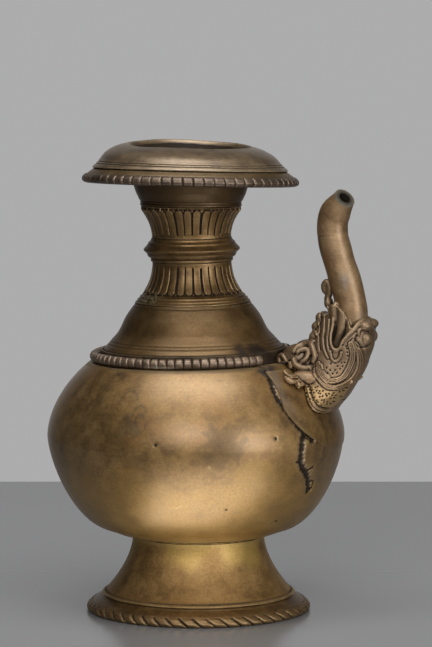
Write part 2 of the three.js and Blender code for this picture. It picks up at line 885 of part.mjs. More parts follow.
// The relief on one flank: lips, cheek, ear, hair, scales, nostril and pearls.
function flankRelief(side) {
  const strands = [0, 1].map((row) => hairStrand.map(([x, y, z]) => [x, y, z - row * hairSpacing]));
  return [
    bar(smoothCurve(lipCurve.map((p) => flank(p, side))), 13, 5, () => lipRadius),
    bar(smoothCurve(cheekCurve.map((p) => flank(p, side))), 7, 5, () => cheekRadius),
    bar(sideCurve(earCurl, side), 6, 5, () => earRadius),
    bar(sideCurve(hairCurl, side), 6, 5, () => cheekRadius),
    ...strands.map((strand) => bar(sideCurve(strand, side), 3, 5, () => hairRadius)),
    ...crestScales.map(([x, y, z]) => roundBead([x, side * y, z], scaleRadius)),
    ...headBeads.map(({ at: [x, y, z], radius, stretch }) => roundBead([x, side * y, z], radius, stretch)),
  ];
}

// The makara's head between the saddle and the tube.
function makaraHead() {
  const coverDistance = 2 * seamGap + saddleSheet;
  const hem = skull(hemWidth).intersect(solidOf(envelope(bodySide(), coverDistance + hemHeight)));
  const bare = skull().add(hem).subtract(solidOf(atBelly(jawValley()))).add(foldedGum());
  const crown = bar(sideCurve(crownCurl, 1), 6, 5, () => curlRadius);
  const head = [crown, ...flankRelief(-1), ...flankRelief(1)]
    .map((piece) => solidOf(atBelly(piece)))
    .reduce((all, next) => all.add(next), bare);
  const throat = bar(spoutLine, 8, 16, () => tubeRadiusLow + seamGap, spoutShare(tubeFootHeight), 0.75);
  return geometryOf(
    [throat, spoutChannel(), envelope(bodySide(), coverDistance), envelope(bellOutline(), seamGap)]
      .map(solidOf)
      .reduce((all, next) => all.subtract(next), head),
  );
}

// The tube that rises out of the jaws, and the bent tip soldered on its end.
function spoutTube() {
  const from = spoutShare(tubeFootHeight + seamGap);
  const to = spoutShare(tipSeamHeight);
  const radiusOn = (u) => tubeRadiusLow + ((tubeRadiusHigh - tubeRadiusLow) * (u - from)) / (to - from);
  const outside = solidOf(bar(spoutLine, 8, 16, radiusOn, from, to));
  const inside = solidOf(bar(spoutLine, 6, 10, () => spoutBore, from - 0.01, to + 0.01));
  return geometryOf(outside.subtract(inside));
}

// The tip narrows over its last bend and is cut off at a slant.
function spoutTip() {
  const from = spoutShare(tipSeamHeight + seamGap);
  const taper = (u) => smooth((u - tipTaperFrom) / (1 - tipTaperFrom));
  const radiusOn = (u) => tubeRadiusHigh - (tubeRadiusHigh - tipEndRadius) * taper(u);
  const boreOn = (u) => spoutBore - (spoutBore - tipBore) * taper(u);
  const outside = solidOf(bar(spoutLine, 8, 16, radiusOn, from, 1));
  const inside = solidOf(bar(spoutLine, 6, 10, boreOn, from - 0.01, 1));
  const end = spoutLine.getPointAt(1);
  const facing = new THREE.Vector3(...tipFacing).normalize();
  const along = (distance) => end.clone().addScaledVector(facing, distance);
  const mouth = bar(new THREE.LineCurve3(along(-tipEndRadius), along(tipEndRadius)), 1, 10, () => tipBore);
  const size = 4 * tipEndRadius;
  const slant = new THREE.BoxGeometry(size, size, size).translate(0, 0, size / 2);
  slant.lookAt(facing).translate(...along(-tipSlantDepth));
  return geometryOf(outside.subtract(inside).subtract(solidOf(mouth)).subtract(solidOf(slant)));
}

const pot = new THREE.Group();
pot.name = "water_pot";

const brass = (color) => new THREE.MeshStandardMaterial({ color, roughness: 0.42, metalness: 1 });
const oldBrass = 0x8c6f42;
const darkBrass = 0x6a5231;
const copperBrass = 0x8f6f50;
const freshBrass = 0xa08a3c;

function add(name, geometry, material) {
  const mesh = new THREE.Mesh(settle(geometry), material);
  mesh.name = name;
  pot.add(mesh);
}

add("foot_flare", footFlare(), brass(oldBrass));
add("foot_rope_border", footBorder(), brass(darkBrass));
add("foot_braze_seam", footSeam(), brass(freshBrass));
const channel = solidOf(spoutChannel());
add("body_shell", geometryOf(solidOf(bodyShell()).subtract(channel)), brass(oldBrass));
add("bead_collar", beadCollar(), brass(darkBrass));
add("shoulder_bell", shoulderBell(), brass(darkBrass));
add("lower_neck_petals", lowerPetals(), brass(oldBrass));
add("neck_knop", neckKnop(), brass(darkBrass));
add("upper_neck_petals", upperPetals(), brass(oldBrass));
add("mouth_funnel", mouthFunnel(), brass(darkBrass));
add("rim_dome", rimDome(), brass(oldBrass));
add("rim_bead_border", rimBorder(), brass(oldBrass));
add("spout_saddle", geometryOf(saddlePlate().subtract(channel)), brass(oldBrass));
add("makara_head", makaraHead(), brass(copperBrass));
add("spout_tube", spoutTube(), brass(copperBrass));
add("spout_tip", spoutTip(), brass(copperBrass));

// The origin lies on the ground under the middle of the pot.
const box = new THREE.Box3().setFromObject(pot, true);
const middle = box.getCenter(new THREE.Vector3());
for (const piece of pot.children) piece.geometry.translate(-middle.x, -middle.y, -box.min.z);

export default pot;
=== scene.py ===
"""Looks of a brass ritual water pot whose spout rises out of a makara's jaws.

Lengths are millimetres in the straight pot, whose axis is Z and whose spout points along +X. The
class Settling carries each point to where the settled old pot has it, in metres, in the frame of
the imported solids. An outline is a row of radii and heights.
"""

import logging
import math
from dataclasses import dataclass
from enum import Enum
from functools import partial
from typing import Callable, Optional, Sequence

import bmesh
import bpy
import numpy as np
from mathutils import Matrix, Vector, noise


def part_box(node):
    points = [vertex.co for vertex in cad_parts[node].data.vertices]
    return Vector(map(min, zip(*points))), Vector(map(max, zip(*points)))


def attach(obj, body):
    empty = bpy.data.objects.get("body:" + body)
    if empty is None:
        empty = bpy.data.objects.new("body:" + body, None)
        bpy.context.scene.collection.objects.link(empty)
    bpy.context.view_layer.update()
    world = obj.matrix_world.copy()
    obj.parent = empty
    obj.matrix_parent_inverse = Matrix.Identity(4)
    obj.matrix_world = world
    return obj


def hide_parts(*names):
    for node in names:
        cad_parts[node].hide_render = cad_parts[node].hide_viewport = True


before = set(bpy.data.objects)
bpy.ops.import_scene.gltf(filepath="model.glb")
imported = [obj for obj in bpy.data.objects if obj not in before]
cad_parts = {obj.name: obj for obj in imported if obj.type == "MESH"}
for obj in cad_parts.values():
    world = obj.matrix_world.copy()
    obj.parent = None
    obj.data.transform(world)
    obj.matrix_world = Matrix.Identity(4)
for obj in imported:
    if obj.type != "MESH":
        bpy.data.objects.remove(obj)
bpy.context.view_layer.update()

LOG = logging.getLogger("water_pot")
SEAM = 0.3
MILLIMETRE = 0.001
MERGED = 1e-3
# A spin of more steps than this is made of equal sectors, because one long spin is slow.
LONG_SPIN = 170
SECTORS = (16, 14, 12, 10, 8, 7, 6, 4, 3, 2, 1)
WIDE_STEPS = 160
NARROW_STEPS = 144
ROPE_STEPS = 14
FINE_ROWS = 60

Array = np.ndarray
Mesh = bmesh.types.BMesh
Outline = list[tuple[float, float]]
Points = Sequence[Sequence[float]]
Color = tuple[float, float, float]
Socket = bpy.types.NodeSocket
Rounds = tuple[Array, Array, Array]
Relief = Callable[[Array, Array, Array], Rounds]
Stain = Callable[[Array, Array], None]


@dataclass
class PotSizes:
    """Radii and heights of the straight pot that more than one piece needs."""

    foot_top_radius: float = 33.0
    foot_top: float = 37.7
    foot_edge_radius: float = 48.0
    foot_border_height: float = 8.2
    foot_border_radius: float = 56.2
    body_floor: float = 39.1
    body_heel_radius: float = 47.6
    body_widest: float = 88.5
    body_radius: float = 74.3
    body_bowl_height: float = 45.6
    body_bowl_fullness: float = 1.55
    body_dome_aim: float = 23.6
    body_dome_height: float = 49.5
    body_dome_fullness: float = 1.72
    body_shoulder_radius: float = 52.6
    body_mouth_radius: float = 41.5
    collar_radius: float = 49.6
    collar_bead_radius: float = 2.7
    bell_height: float = 28.8
    bell_top_radius: float = 28.8
    neck_bore: float = 16.6
    neck_waist: float = 19.8
    lower_petal_height: float = 20.2
    knop_height: float = 11.7
    upper_petal_height: float = 15.2
    upper_petal_radius: float = 25.0
    funnel_height: float = 11.3
    flange_radius: float = 48.0
    rim_sheet: float = 1.5
    dome_height: float = 17.3
    dome_skirt: float = 5.2
    crest_radius: float = 31.5
    rim_radius: float = 54.2

    def __post_init__(self) -> None:
        """Stacks the heights of the pieces, from the body's shoulder to the rim's crest."""
        half = self.body_radius - self.body_dome_aim
        share = (self.body_shoulder_radius - self.body_dome_aim) / half
        self.shoulder_turn = math.acos(share ** (self.body_dome_fullness / 2))
        rise = math.sin(self.shoulder_turn) ** (2 / self.body_dome_fullness)
        self.shoulder = self.body_widest + self.body_dome_height * rise
        self.bell_foot = self.shoulder + SEAM
        self.bell_top = self.bell_foot + self.bell_height
        self.lower_petal_foot = self.bell_top + SEAM
        self.knop_foot = self.lower_petal_foot + self.lower_petal_height + SEAM
        self.upper_petal_foot = self.knop_foot + self.knop_height + SEAM
        self.funnel_foot = self.upper_petal_foot + self.upper_petal_height + SEAM
        self.flange = self.funnel_foot + self.funnel_height
        self.dome_foot = self.flange + self.rim_sheet + SEAM
        self.crest = self.dome_foot + self.dome_height


POT = PotSizes()
BELLY = np.array([POT.body_radius, 0.0, POT.body_widest])


def smooth_step(t: Array) -> Array:
    """Eases a share from 0 to 1."""
    c = np.clip(t, 0.0, 1.0)
    return c * c * (3.0 - 2.0 * c)


def peak(distance: Array, width: float) -> Array:
    """A soft bump that is 1 where the distance is 0 and fades over the width."""
    return np.exp(-((distance / width) ** 2))


def cloudiness(co: Array, scale: float = 1.0, shift: float = 0.0) -> Array:
    """Smooth noise at each point, from about -1 to 1."""
    return np.array([noise.noise(Vector(p) * scale + Vector((shift, 0.0, 0.0))) for p in co])


@dataclass(frozen=True)
class Settling:
    """How the old pot leans, and how its rim is bent, with directions in degrees from +X."""

    lean: float = 1.42
    lean_towards: float = 150.0
    body_shift: float = 0.8
    body_shift_towards: float = 195.0
    rim_tilt: float = 3.3
    rim_tilt_towards: float = 62.0
    crest_tilt: float = 3.0
    crest_tilt_towards: float = -4.0

    @staticmethod
    def _sunk(co: Array, angle: float, towards: float) -> Array:
        """How far a level surface sinks at each point when it tilts towards a direction."""
        t = math.radians(towards)
        return (co[:, 0] * math.cos(t) + co[:, 1] * math.sin(t)) * math.tan(math.radians(angle))

    def settle(self, straight: Array) -> Array:
        """Carries points of the straight pot to the settled one.

        Args:
            straight: points in millimetres, one row each.

        Returns:
            The same points in metres, in the frame of the solids.
        """
        co = straight.astype(float).copy()
        on_rim = np.hypot(co[:, 0], co[:, 1]) < POT.rim_radius + SEAM
        bent = POT.flange - POT.upper_petal_foot
        rise = on_rim * smooth_step((co[:, 2] - POT.upper_petal_foot) / bent)
        over_brim = co[:, 2] - POT.dome_foot - POT.dome_skirt
        crest_share = smooth_step(over_brim / (POT.dome_height - POT.dome_skirt))
        rim = self._sunk(co, self.rim_tilt, self.rim_tilt_towards)
        crest = self._sunk(co, self.crest_tilt, self.crest_tilt_towards)
        co[:, 2] -= rise * (rim + (crest - rim) * crest_share)
        across = math.radians(self.lean_towards + 90.0)
        axis = np.array([math.cos(across), math.sin(across), 0.0])
        pivot = np.array([0.0, 0.0, POT.foot_top])
        share = smooth_step((co[:, 2] - POT.foot_top) / (POT.shoulder - POT.foot_top))
        angle = math.radians(self.lean) * share
        v = co - pivot
        c, s = np.cos(angle)[:, None], np.sin(angle)[:, None]
        co = v * c + np.cross(axis, v) * s + np.outer(v @ axis, axis) * (1.0 - c) + pivot
        shifted_up = co[:, 2] > POT.body_floor - SEAM
        towards = math.radians(self.body_shift_towards)
        co[:, 0] += shifted_up * self.body_shift * math.cos(towards)
        co[:, 1] += shifted_up * self.body_shift * math.sin(towards)
        low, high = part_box("foot_flare")
        co = co * MILLIMETRE
        co[:, 0] += (low.x + high.x) / 2
        co[:, 1] += (low.y + high.y) / 2
        return co


SETTLING = Settling()


def flowing(points: Points, count: int) -> Array:
    """A smooth curve through points, evenly spaced along its length.

    Args:
        points: places that the curve passes through, in any dimension.
        count: how many points come back.

    Returns:
        The curve's points, one row each.
    """
    p = np.array(points, float)
    p = np.vstack([2 * p[0] - p[1], p, 2 * p[-1] - p[-2]])
    fine = []
    for i in range(1, len(p) - 2):
        knots = [0.0]
        for k in range(3):
            knots.append(knots[-1] + max(np.linalg.norm(p[i + k] - p[i + k - 1]), 1e-6) ** 0.5)
        t = np.linspace(knots[1], knots[2], 24, endpoint=False)[:, None]

        def mixed(a: Array, b: Array, start: int, end: int) -> Array:
            """Straight mix of two places between two knots."""
            ta, tb = knots[start], knots[end]
            return (tb - t) / (tb - ta) * a + (t - ta) / (tb - ta) * b

        near = [mixed(p[i + k - 1], p[i + k], k, k + 1) for k in range(3)]
        a, b = (mixed(near[k], near[k + 1], k, k + 2) for k in range(2))
        fine.append(mixed(a, b, 1, 2))
    line = np.vstack(fine + [p[-2][None]])
    along = np.concatenate([[0.0], np.cumsum(np.linalg.norm(np.diff(line, axis=0), axis=1))])
    at = np.linspace(0.0, along[-1], count)
    return np.stack([np.interp(at, along, line[:, k]) for k in range(line.shape[1])], -1)


def stepped(r: float, z: float, steps: Points) -> Outline:
    """An outline given as steps out and up from one place."""
    return [(r + out, z + up) for out, up in steps]


def softened(points: Outline, radius: float, steps: int = 3) -> Outline:
    """Rounds the corners of an open outline.

    Args:
        points: the outline's corners.
        radius: how far from a corner its rounding starts.
        steps: how many pieces a rounding has.

    Returns:
        The outline with rounded corners.
    """
    made = [tuple(points[0])]
    for before, corner, after in zip(points, points[1:], points[2:]):
        a, b, c = (np.array(q, float) for q in (before, corner, after))
        into, out = np.linalg.norm(b - a), np.linalg.norm(c - b)
        start = b + (a - b) * min(radius, into * 0.45) / into
        end = b + (c - b) * min(radius, out * 0.45) / out
        for k in range(steps + 1):
            t = k / steps
            made.append(tuple((1 - t) ** 2 * start + 2 * t * (1 - t) * b + t * t * end))
    made.append(tuple(points[-1]))
    return made


def evenly(points: Outline, spacing: float) -> Outline:
    """Splits the long steps of an outline so that none is longer than the spacing."""
    made = [points[0]]
    for a, b in zip(points, points[1:]):
        parts = max(1, math.ceil(math.dist(a, b) / spacing))
        for k in range(1, parts + 1):
            made.append((a[0] + (b[0] - a[0]) * k / parts, a[1] + (b[1] - a[1]) * k / parts))
    return made


def shifted(outline: Points, distance: float) -> Outline:
    """Moves an outline sideways, to its right as it runs."""
    p = np.array(outline, float)
    along = np.gradient(p, axis=0)
    along /= np.linalg.norm(along, axis=1)[:, None] + 1e-12
    return [(a[0] + t[1] * distance, a[1] - t[0] * distance) for a, t in zip(p, along)]


def spun(
    profile: Outline, steps: int, start: float = 0.0, arc: float = math.tau, closed: bool = True
) -> Mesh:
    """Spins an outline round Z.

    Args:
        profile: the outline's points.
        steps: how many steps the spin has.
        start: the angle at which the spin starts.
        arc: how far it goes round.
        closed: whether the outline's ends are joined.

    Returns:
        The spun mesh.
    """
    bm = bmesh.new()
    c, s = math.cos(start), math.sin(start)
    verts = [bm.verts.new((r * c, r * s, z)) for r, z in profile]
    edges = [bm.edges.new(pair) for pair in zip(verts, verts[1:])]
    if closed:
        edges.append(bm.edges.new((verts[-1], verts[0])))
    full = arc > math.tau - 1e-6
    sectors = next(n for n in SECTORS if steps % n == 0) if steps > LONG_SPIN else 1
    turning = {"cent": (0, 0, 0), "axis": (0, 0, 1), "dvec": (0, 0, 0)}
    first = {"angle": arc / sectors, "steps": steps // sectors, "use_merge": full and sectors == 1}
    bmesh.ops.spin(bm, geom=verts + edges, **first, **turning)
    if sectors > 1:
        rest = {"angle": arc * (sectors - 1) / sectors, "steps": sectors - 1}
        sector = bm.verts[:] + bm.edges[:] + bm.faces[:]
        bmesh.ops.spin(bm, geom=sector, use_duplicate=True, **rest, **turning)
    bmesh.ops.remove_doubles(bm, verts=bm.verts, dist=MERGED)
    if not full and closed:
        bmesh.ops.holes_fill(bm, edges=[e for e in bm.edges if e.is_boundary], sides=0)
    bmesh.ops.recalc_face_normals(bm, faces=bm.faces)
    return bm


def places(bm: Mesh) -> Array:
    """The places of a mesh's vertices, one row each."""
    return np.array([v.co[:] for v in bm.verts], float)


def azimuths(co: Array) -> Array:
    """The azimuth of each point, in degrees."""
    return np.degrees(np.arctan2(co[:, 1], co[:, 0]))


def put(bm: Mesh, co: Array) -> None:
    """Moves a mesh's vertices to new places."""
    for v, p in zip(bm.verts, co):
        v.co = p


def carve_round(bm: Mesh, relief: Relief) -> None:
    """Moves the vertices of a spun mesh by a relief.

    Args:
        bm: the mesh.
        relief: takes radii, angles and heights, and returns them changed.
    """
    co = places(bm)
    r, a, z = relief(np.hypot(co[:, 0], co[:, 1]), np.arctan2(co[:, 1], co[:, 0]), co[:, 2])
    put(bm, np.stack([r * np.cos(a), r * np.sin(a), z], -1))


def lofted(stations: Sequence[tuple[Matrix, float]], sides: int, pipe: bool = False) -> Mesh:
    """Bridges circles that follow one another.

    Args:
        stations: each circle's place and radius.
        sides: how many sides a circle has.
        pipe: whether the last circle is joined to the first, instead of both being filled.

    Returns:
        The closed mesh.
    """
    bm = bmesh.new()
    circle = {"cap_ends": False, "segments": sides}
    rings = []
    for matrix, radius in stations:
        made = bmesh.ops.create_circle(bm, radius=radius, matrix=matrix, **circle)["verts"]
        rings.append([bm.edges.get((made[i], made[(i + 1) % sides])) for i in range(sides)])
    pairs = list(zip(rings, rings[1:]))
    if pipe:
        pairs.append((rings[-1], rings[0]))
    for a, b in pairs:
        bmesh.ops.bridge_loops(bm, edges=a + b)
    if not pipe:
        for ring in (rings[0], rings[-1]):
            bmesh.ops.edgeloop_fill(bm, edges=ring)
    bmesh.ops.recalc_face_normals(bm, faces=bm.faces)
    return bm


def swept(line: Array, radii: Array, sides: int, bore: Optional[Array] = None) -> Mesh:
    """A round bar or pipe along a line.

    Args:
        line: the points of its middle.
        radii: its radius at each of them.
        sides: how many sides it has.
        bore: the radius of its hole at each point, if it is a pipe.

    Returns:
        The bar's mesh, closed at both ends.
    """
    tangents = np.gradient(line, axis=0)
    upright = abs(tangents[0][1]) < 0.9 * np.linalg.norm(tangents[0])
    up = Vector((0.0, 1.0, 0.0)) if upright else Vector((1, 0, 0))
    frames = []
    for p, t in zip(line, tangents):
        forward = Vector(t).normalized()
        side = forward.cross(up).normalized()
        up = side.cross(forward).normalized()
        frames.append(Matrix.Translation(p) @ Matrix((side, up, forward)).transposed().to_4x4())
    stations = list(zip(frames, radii))
    if bore is not None:
        stations += list(zip(reversed(frames), reversed(list(bore))))
    return lofted(stations, sides, bore is not None)


def swelling(count: int, least: float, start: float = 0.0) -> Array:
    """Shares that swell from the least at a bar's ends to 1 in its middle."""
    return least + (1 - least) * np.sin(np.linspace(start, math.pi, count)) ** 0.5


def shown(name: str, data: bpy.types.ID) -> bpy.types.Object:
    """Puts data in the scene as an object."""
    made = bpy.data.objects.new(name, data)
    bpy.context.scene.collection.objects.link(made)
    return made


def meshed(name: str, bm: Mesh) -> bpy.types.Mesh:
    """Turns a bmesh, which is freed, into mesh data."""
    mesh = bpy.data.meshes.new(name)
    bm.to_mesh(mesh)
    bm.free()
    return mesh


def gathered(shapes: Sequence[Mesh]) -> Mesh:
    """Puts several shapes, which are freed, into one bmesh."""
    bm = bmesh.new()
    for shape in shapes:
        mesh = meshed("passing", shape)
        bm.from_mesh(mesh)
        bpy.data.meshes.remove(mesh)
    return bm


def dropped(held: bpy.types.Object) -> None:
    """Removes a passing object and its mesh."""
    mesh = held.data
    bpy.data.objects.remove(held)
    bpy.data.meshes.remove(mesh)


def applied(held: bpy.types.Object) -> Mesh:
    """Takes the mesh of a passing object with its modifiers, and removes the object."""
    graph = bpy.context.evaluated_depsgraph_get()
    made = bpy.data.meshes.new_from_object(held.evaluated_get(graph))
    bm = bmesh.new()
    bm.from_mesh(made)
    bpy.data.meshes.remove(made)
    dropped(held)
    return bm


class Kept(Enum):
    """What a cut keeps of a shape."""

    OUTSIDE = "DIFFERENCE"
    INSIDE = "INTERSECT"


def cut(base: Mesh, tools: Sequence[Mesh], kept: Kept = Kept.OUTSIDE) -> Mesh:
    """Cuts a shape with others.

    Args:
        base: the shape; it is freed.
        tools: the shapes that it is cut with; they are freed.
        kept: which part of the shape stays.

    Returns:
        What is left.
    """
    held = shown("passing", meshed("passing", base))
    others = []
    for tool in tools:
        others.append(shown("passing", meshed("passing", tool)))
        modifier = held.modifiers.new("cut", "BOOLEAN")
        modifier.operation = kept.value
        modifier.solver = "EXACT"
        modifier.object = others[-1]
    bm = applied(held)
    for other in others:
        dropped(other)
    return bm


def melted(shapes: Sequence[Mesh], voxel: float) -> Mesh:
    """Melts overlapping closed shapes into one skin.

    Args:
        shapes: the shapes; they are freed.
        voxel: the skin's grain, in millimetres.

    Returns:
        The skin.
    """
    held = shown("passing", meshed("passing", gathered(shapes)))
    modifier = held.modifiers.new("skin", "REMESH")
    modifier.mode = "VOXEL"
    modifier.voxel_size = voxel
    return applied(held)


def prism(outline: Points, reach: float) -> Mesh:
    """A block whose side view is an outline, as wide as twice the reach."""
    bm = bmesh.new()
    face = bm.faces.new([bm.verts.new((x, -reach, z)) for x, z in outline])
    made = bmesh.ops.extrude_face_region(bm, geom=[face])
    moved = [v for v in made["geom"] if isinstance(v, bmesh.types.BMVert)]
    bmesh.ops.translate(bm, vec=(0, 2 * reach, 0), verts=moved)
    bmesh.ops.recalc_face_normals(bm, faces=bm.faces)
    return bm


def ball(at: Sequence[float], radii: Sequence[float]) -> Mesh:
    """An ellipsoid."""
    bm = bmesh.new()
    bmesh.ops.create_uvsphere(bm, u_segments=20, v_segments=12, radius=1.0)
    bmesh.ops.scale(bm, vec=radii, verts=bm.verts)
    bmesh.ops.translate(bm, vec=at, verts=bm.verts)
    return bm


def path_distance(co: Array, path: Array) -> tuple[Array, Array]:
    """How far each point lies from a path, and how far along it.

    Args:
        co: the points.
        path: the path's points, in the same dimension.

    Returns:
        The distances and the lengths along the path.
    """
    best = np.full(len(co), 1e9)
    along = np.zeros(len(co))
    run = 0.0
    for a, b in zip(path, path[1:]):
        d = b - a
        length = float(np.linalg.norm(d)) + 1e-9
        t = np.clip(((co - a) @ d) / length**2, 0.0, 1.0)
        distance = np.linalg.norm(co - (a + t[:, None] * d), axis=1)
        closer = distance < best
        best[closer] = distance[closer]
        along[closer] = run + t[closer] * length
        run += length
    return best, along


def hollows(mesh: bpy.types.Mesh, co: Array, rounds: int) -> Array:
    """How deep each vertex lies under its smoothed surroundings.

    Args:
        mesh: the mesh, for its edges and normals.
        co: its vertices in millimetres.
        rounds: how many times the surface is smoothed.

    Returns:
        One depth in millimetres per vertex, above 0 in hollows and below 0 on edges.
    """
    count = len(co)
    edges = np.zeros(len(mesh.edges) * 2, int)
    mesh.edges.foreach_get("vertices", edges)
    a, b = edges[::2], edges[1::2]
    normals = np.zeros(count * 3, np.float32)
    mesh.vertex_normals.foreach_get("vector", normals)
    weight = 1.0 / (np.linalg.norm(co[a] - co[b], axis=1) + 1e-3)
    total = np.bincount(a, weight, count) + np.bincount(b, weight, count) + 1e-9
    smoothed = co.copy()
    for _ in range(rounds):
        moved = [
            np.bincount(a, weight * smoothed[b, k], count)
            + np.bincount(b, weight * smoothed[a, k], count)
            for k in range(3)
        ]
        smoothed = 0.5 * smoothed + 0.5 * np.stack(moved, -1) / total[:, None]
    return ((smoothed - co) * normals.reshape(-1, 3).astype(float)).sum(1)


class Tint(Enum):
    """The colours of stains, washes and patches, and of the painted shade in the funnel and in the
    tip's bore.
    """

    FRESH_METAL = (0.46, 0.31, 0.085)
    ORANGE_SKIN = (0.33, 0.185, 0.032)
    RED_SKIN = (0.235, 0.112, 0.026)
    SCRATCHED = (0.55, 0.41, 0.18)
    CRACK_GRIME = (0.04, 0.027, 0.019)
    FAINT_CURL = (0.085, 0.05, 0.022)
    BROWN_CLOUD = (0.10, 0.055, 0.018)
    PALE_CLOUD = (0.11, 0.066, 0.027)
    DARK_SOLDER = (0.035, 0.028, 0.024)
    BROWN_SOLDER = (0.05, 0.038, 0.03)
    BRIGHT_NICK = (0.46, 0.32, 0.07)
    WHITE_LIME = (0.60, 0.56, 0.47)
    BLACK_SOLDER = (0.024, 0.017, 0.012)
    YELLOW_LIME = (0.62, 0.55, 0.33)
    # Painted shade: the rim's shadow over the funnel.
    FUNNEL_SHADE = (0.05, 0.027, 0.009)
    YELLOW_BAND = (0.16, 0.10, 0.035)
    BEAD_SHADE = (0.06, 0.04, 0.027)
    BROWN_WASH = (0.155, 0.105, 0.062)
    YELLOW_SKIRT = (0.47, 0.305, 0.115)
    GREY_SOLDER = (0.33, 0.25, 0.185)
    RED_PATCH = (0.26, 0.135, 0.065)
    BROWN_PATCH = (0.10, 0.07, 0.045)
    PINK_PATCH = (0.22, 0.175, 0.14)
    COPPER_PATCH = (0.30, 0.17, 0.085)
    DARK_PATCH = (0.09, 0.06, 0.036)
    PALE_PATCH = (0.24, 0.19, 0.13)
    BARE_CUT = (0.15, 0.142, 0.115)
    # Painted shadow inside the tip's bore.
    PAINTED_BORE_SHADOW = (0.016, 0.013, 0.009)


def lay(stains: Array, amount: Array, tint: Tint) -> None:
    """Lays a colour over the stains by an amount per vertex."""
    stronger = amount > stains[:, 3]
    stains[stronger, :3] = tint.value
    stains[:, 3] = np.maximum(stains[:, 3], amount)


def daub(
    co: Array, stains: Array, centre: Sequence[float], reach: float, tint: Tint, strength: float
) -> None:
    """Paints a soft round stain.

    Args:
        co: the piece's points.
        stains: the stain of each, which this changes.
        centre: the stain's middle.
        reach: its radius.
        tint: its colour.
        strength: how much of it covers the metal.
    """
    distance = np.linalg.norm(co - np.array(centre), axis=1)
    wobble = np.zeros(len(co))
    near = distance < 1.6 * reach
    wobble[near] = cloudiness(co[near], 0.35)
    lay(stains, strength * smooth_step(1.25 - distance / reach + 0.6 * wobble), tint)


def wired(
    tree: bpy.types.NodeTree, kind: str, inputs: dict, **settings: object
) -> bpy.types.Node:
    """Adds one shader node to a tree.

    Args:
        tree: the tree.
        kind: the node's type, without its first word ShaderNode.
        inputs: the inputs that are set, or linked where they are sockets.
        **settings: the node's other settings.

    Returns:
        The node.
    """
    made = tree.nodes.new("ShaderNode" + kind)
    for key, value in settings.items():
        setattr(made, key, value)
    for key, value in inputs.items():
        if isinstance(value, Socket):
            tree.links.new(value, made.inputs[key])
        else:
            made.inputs[key].default_value = value
    return made


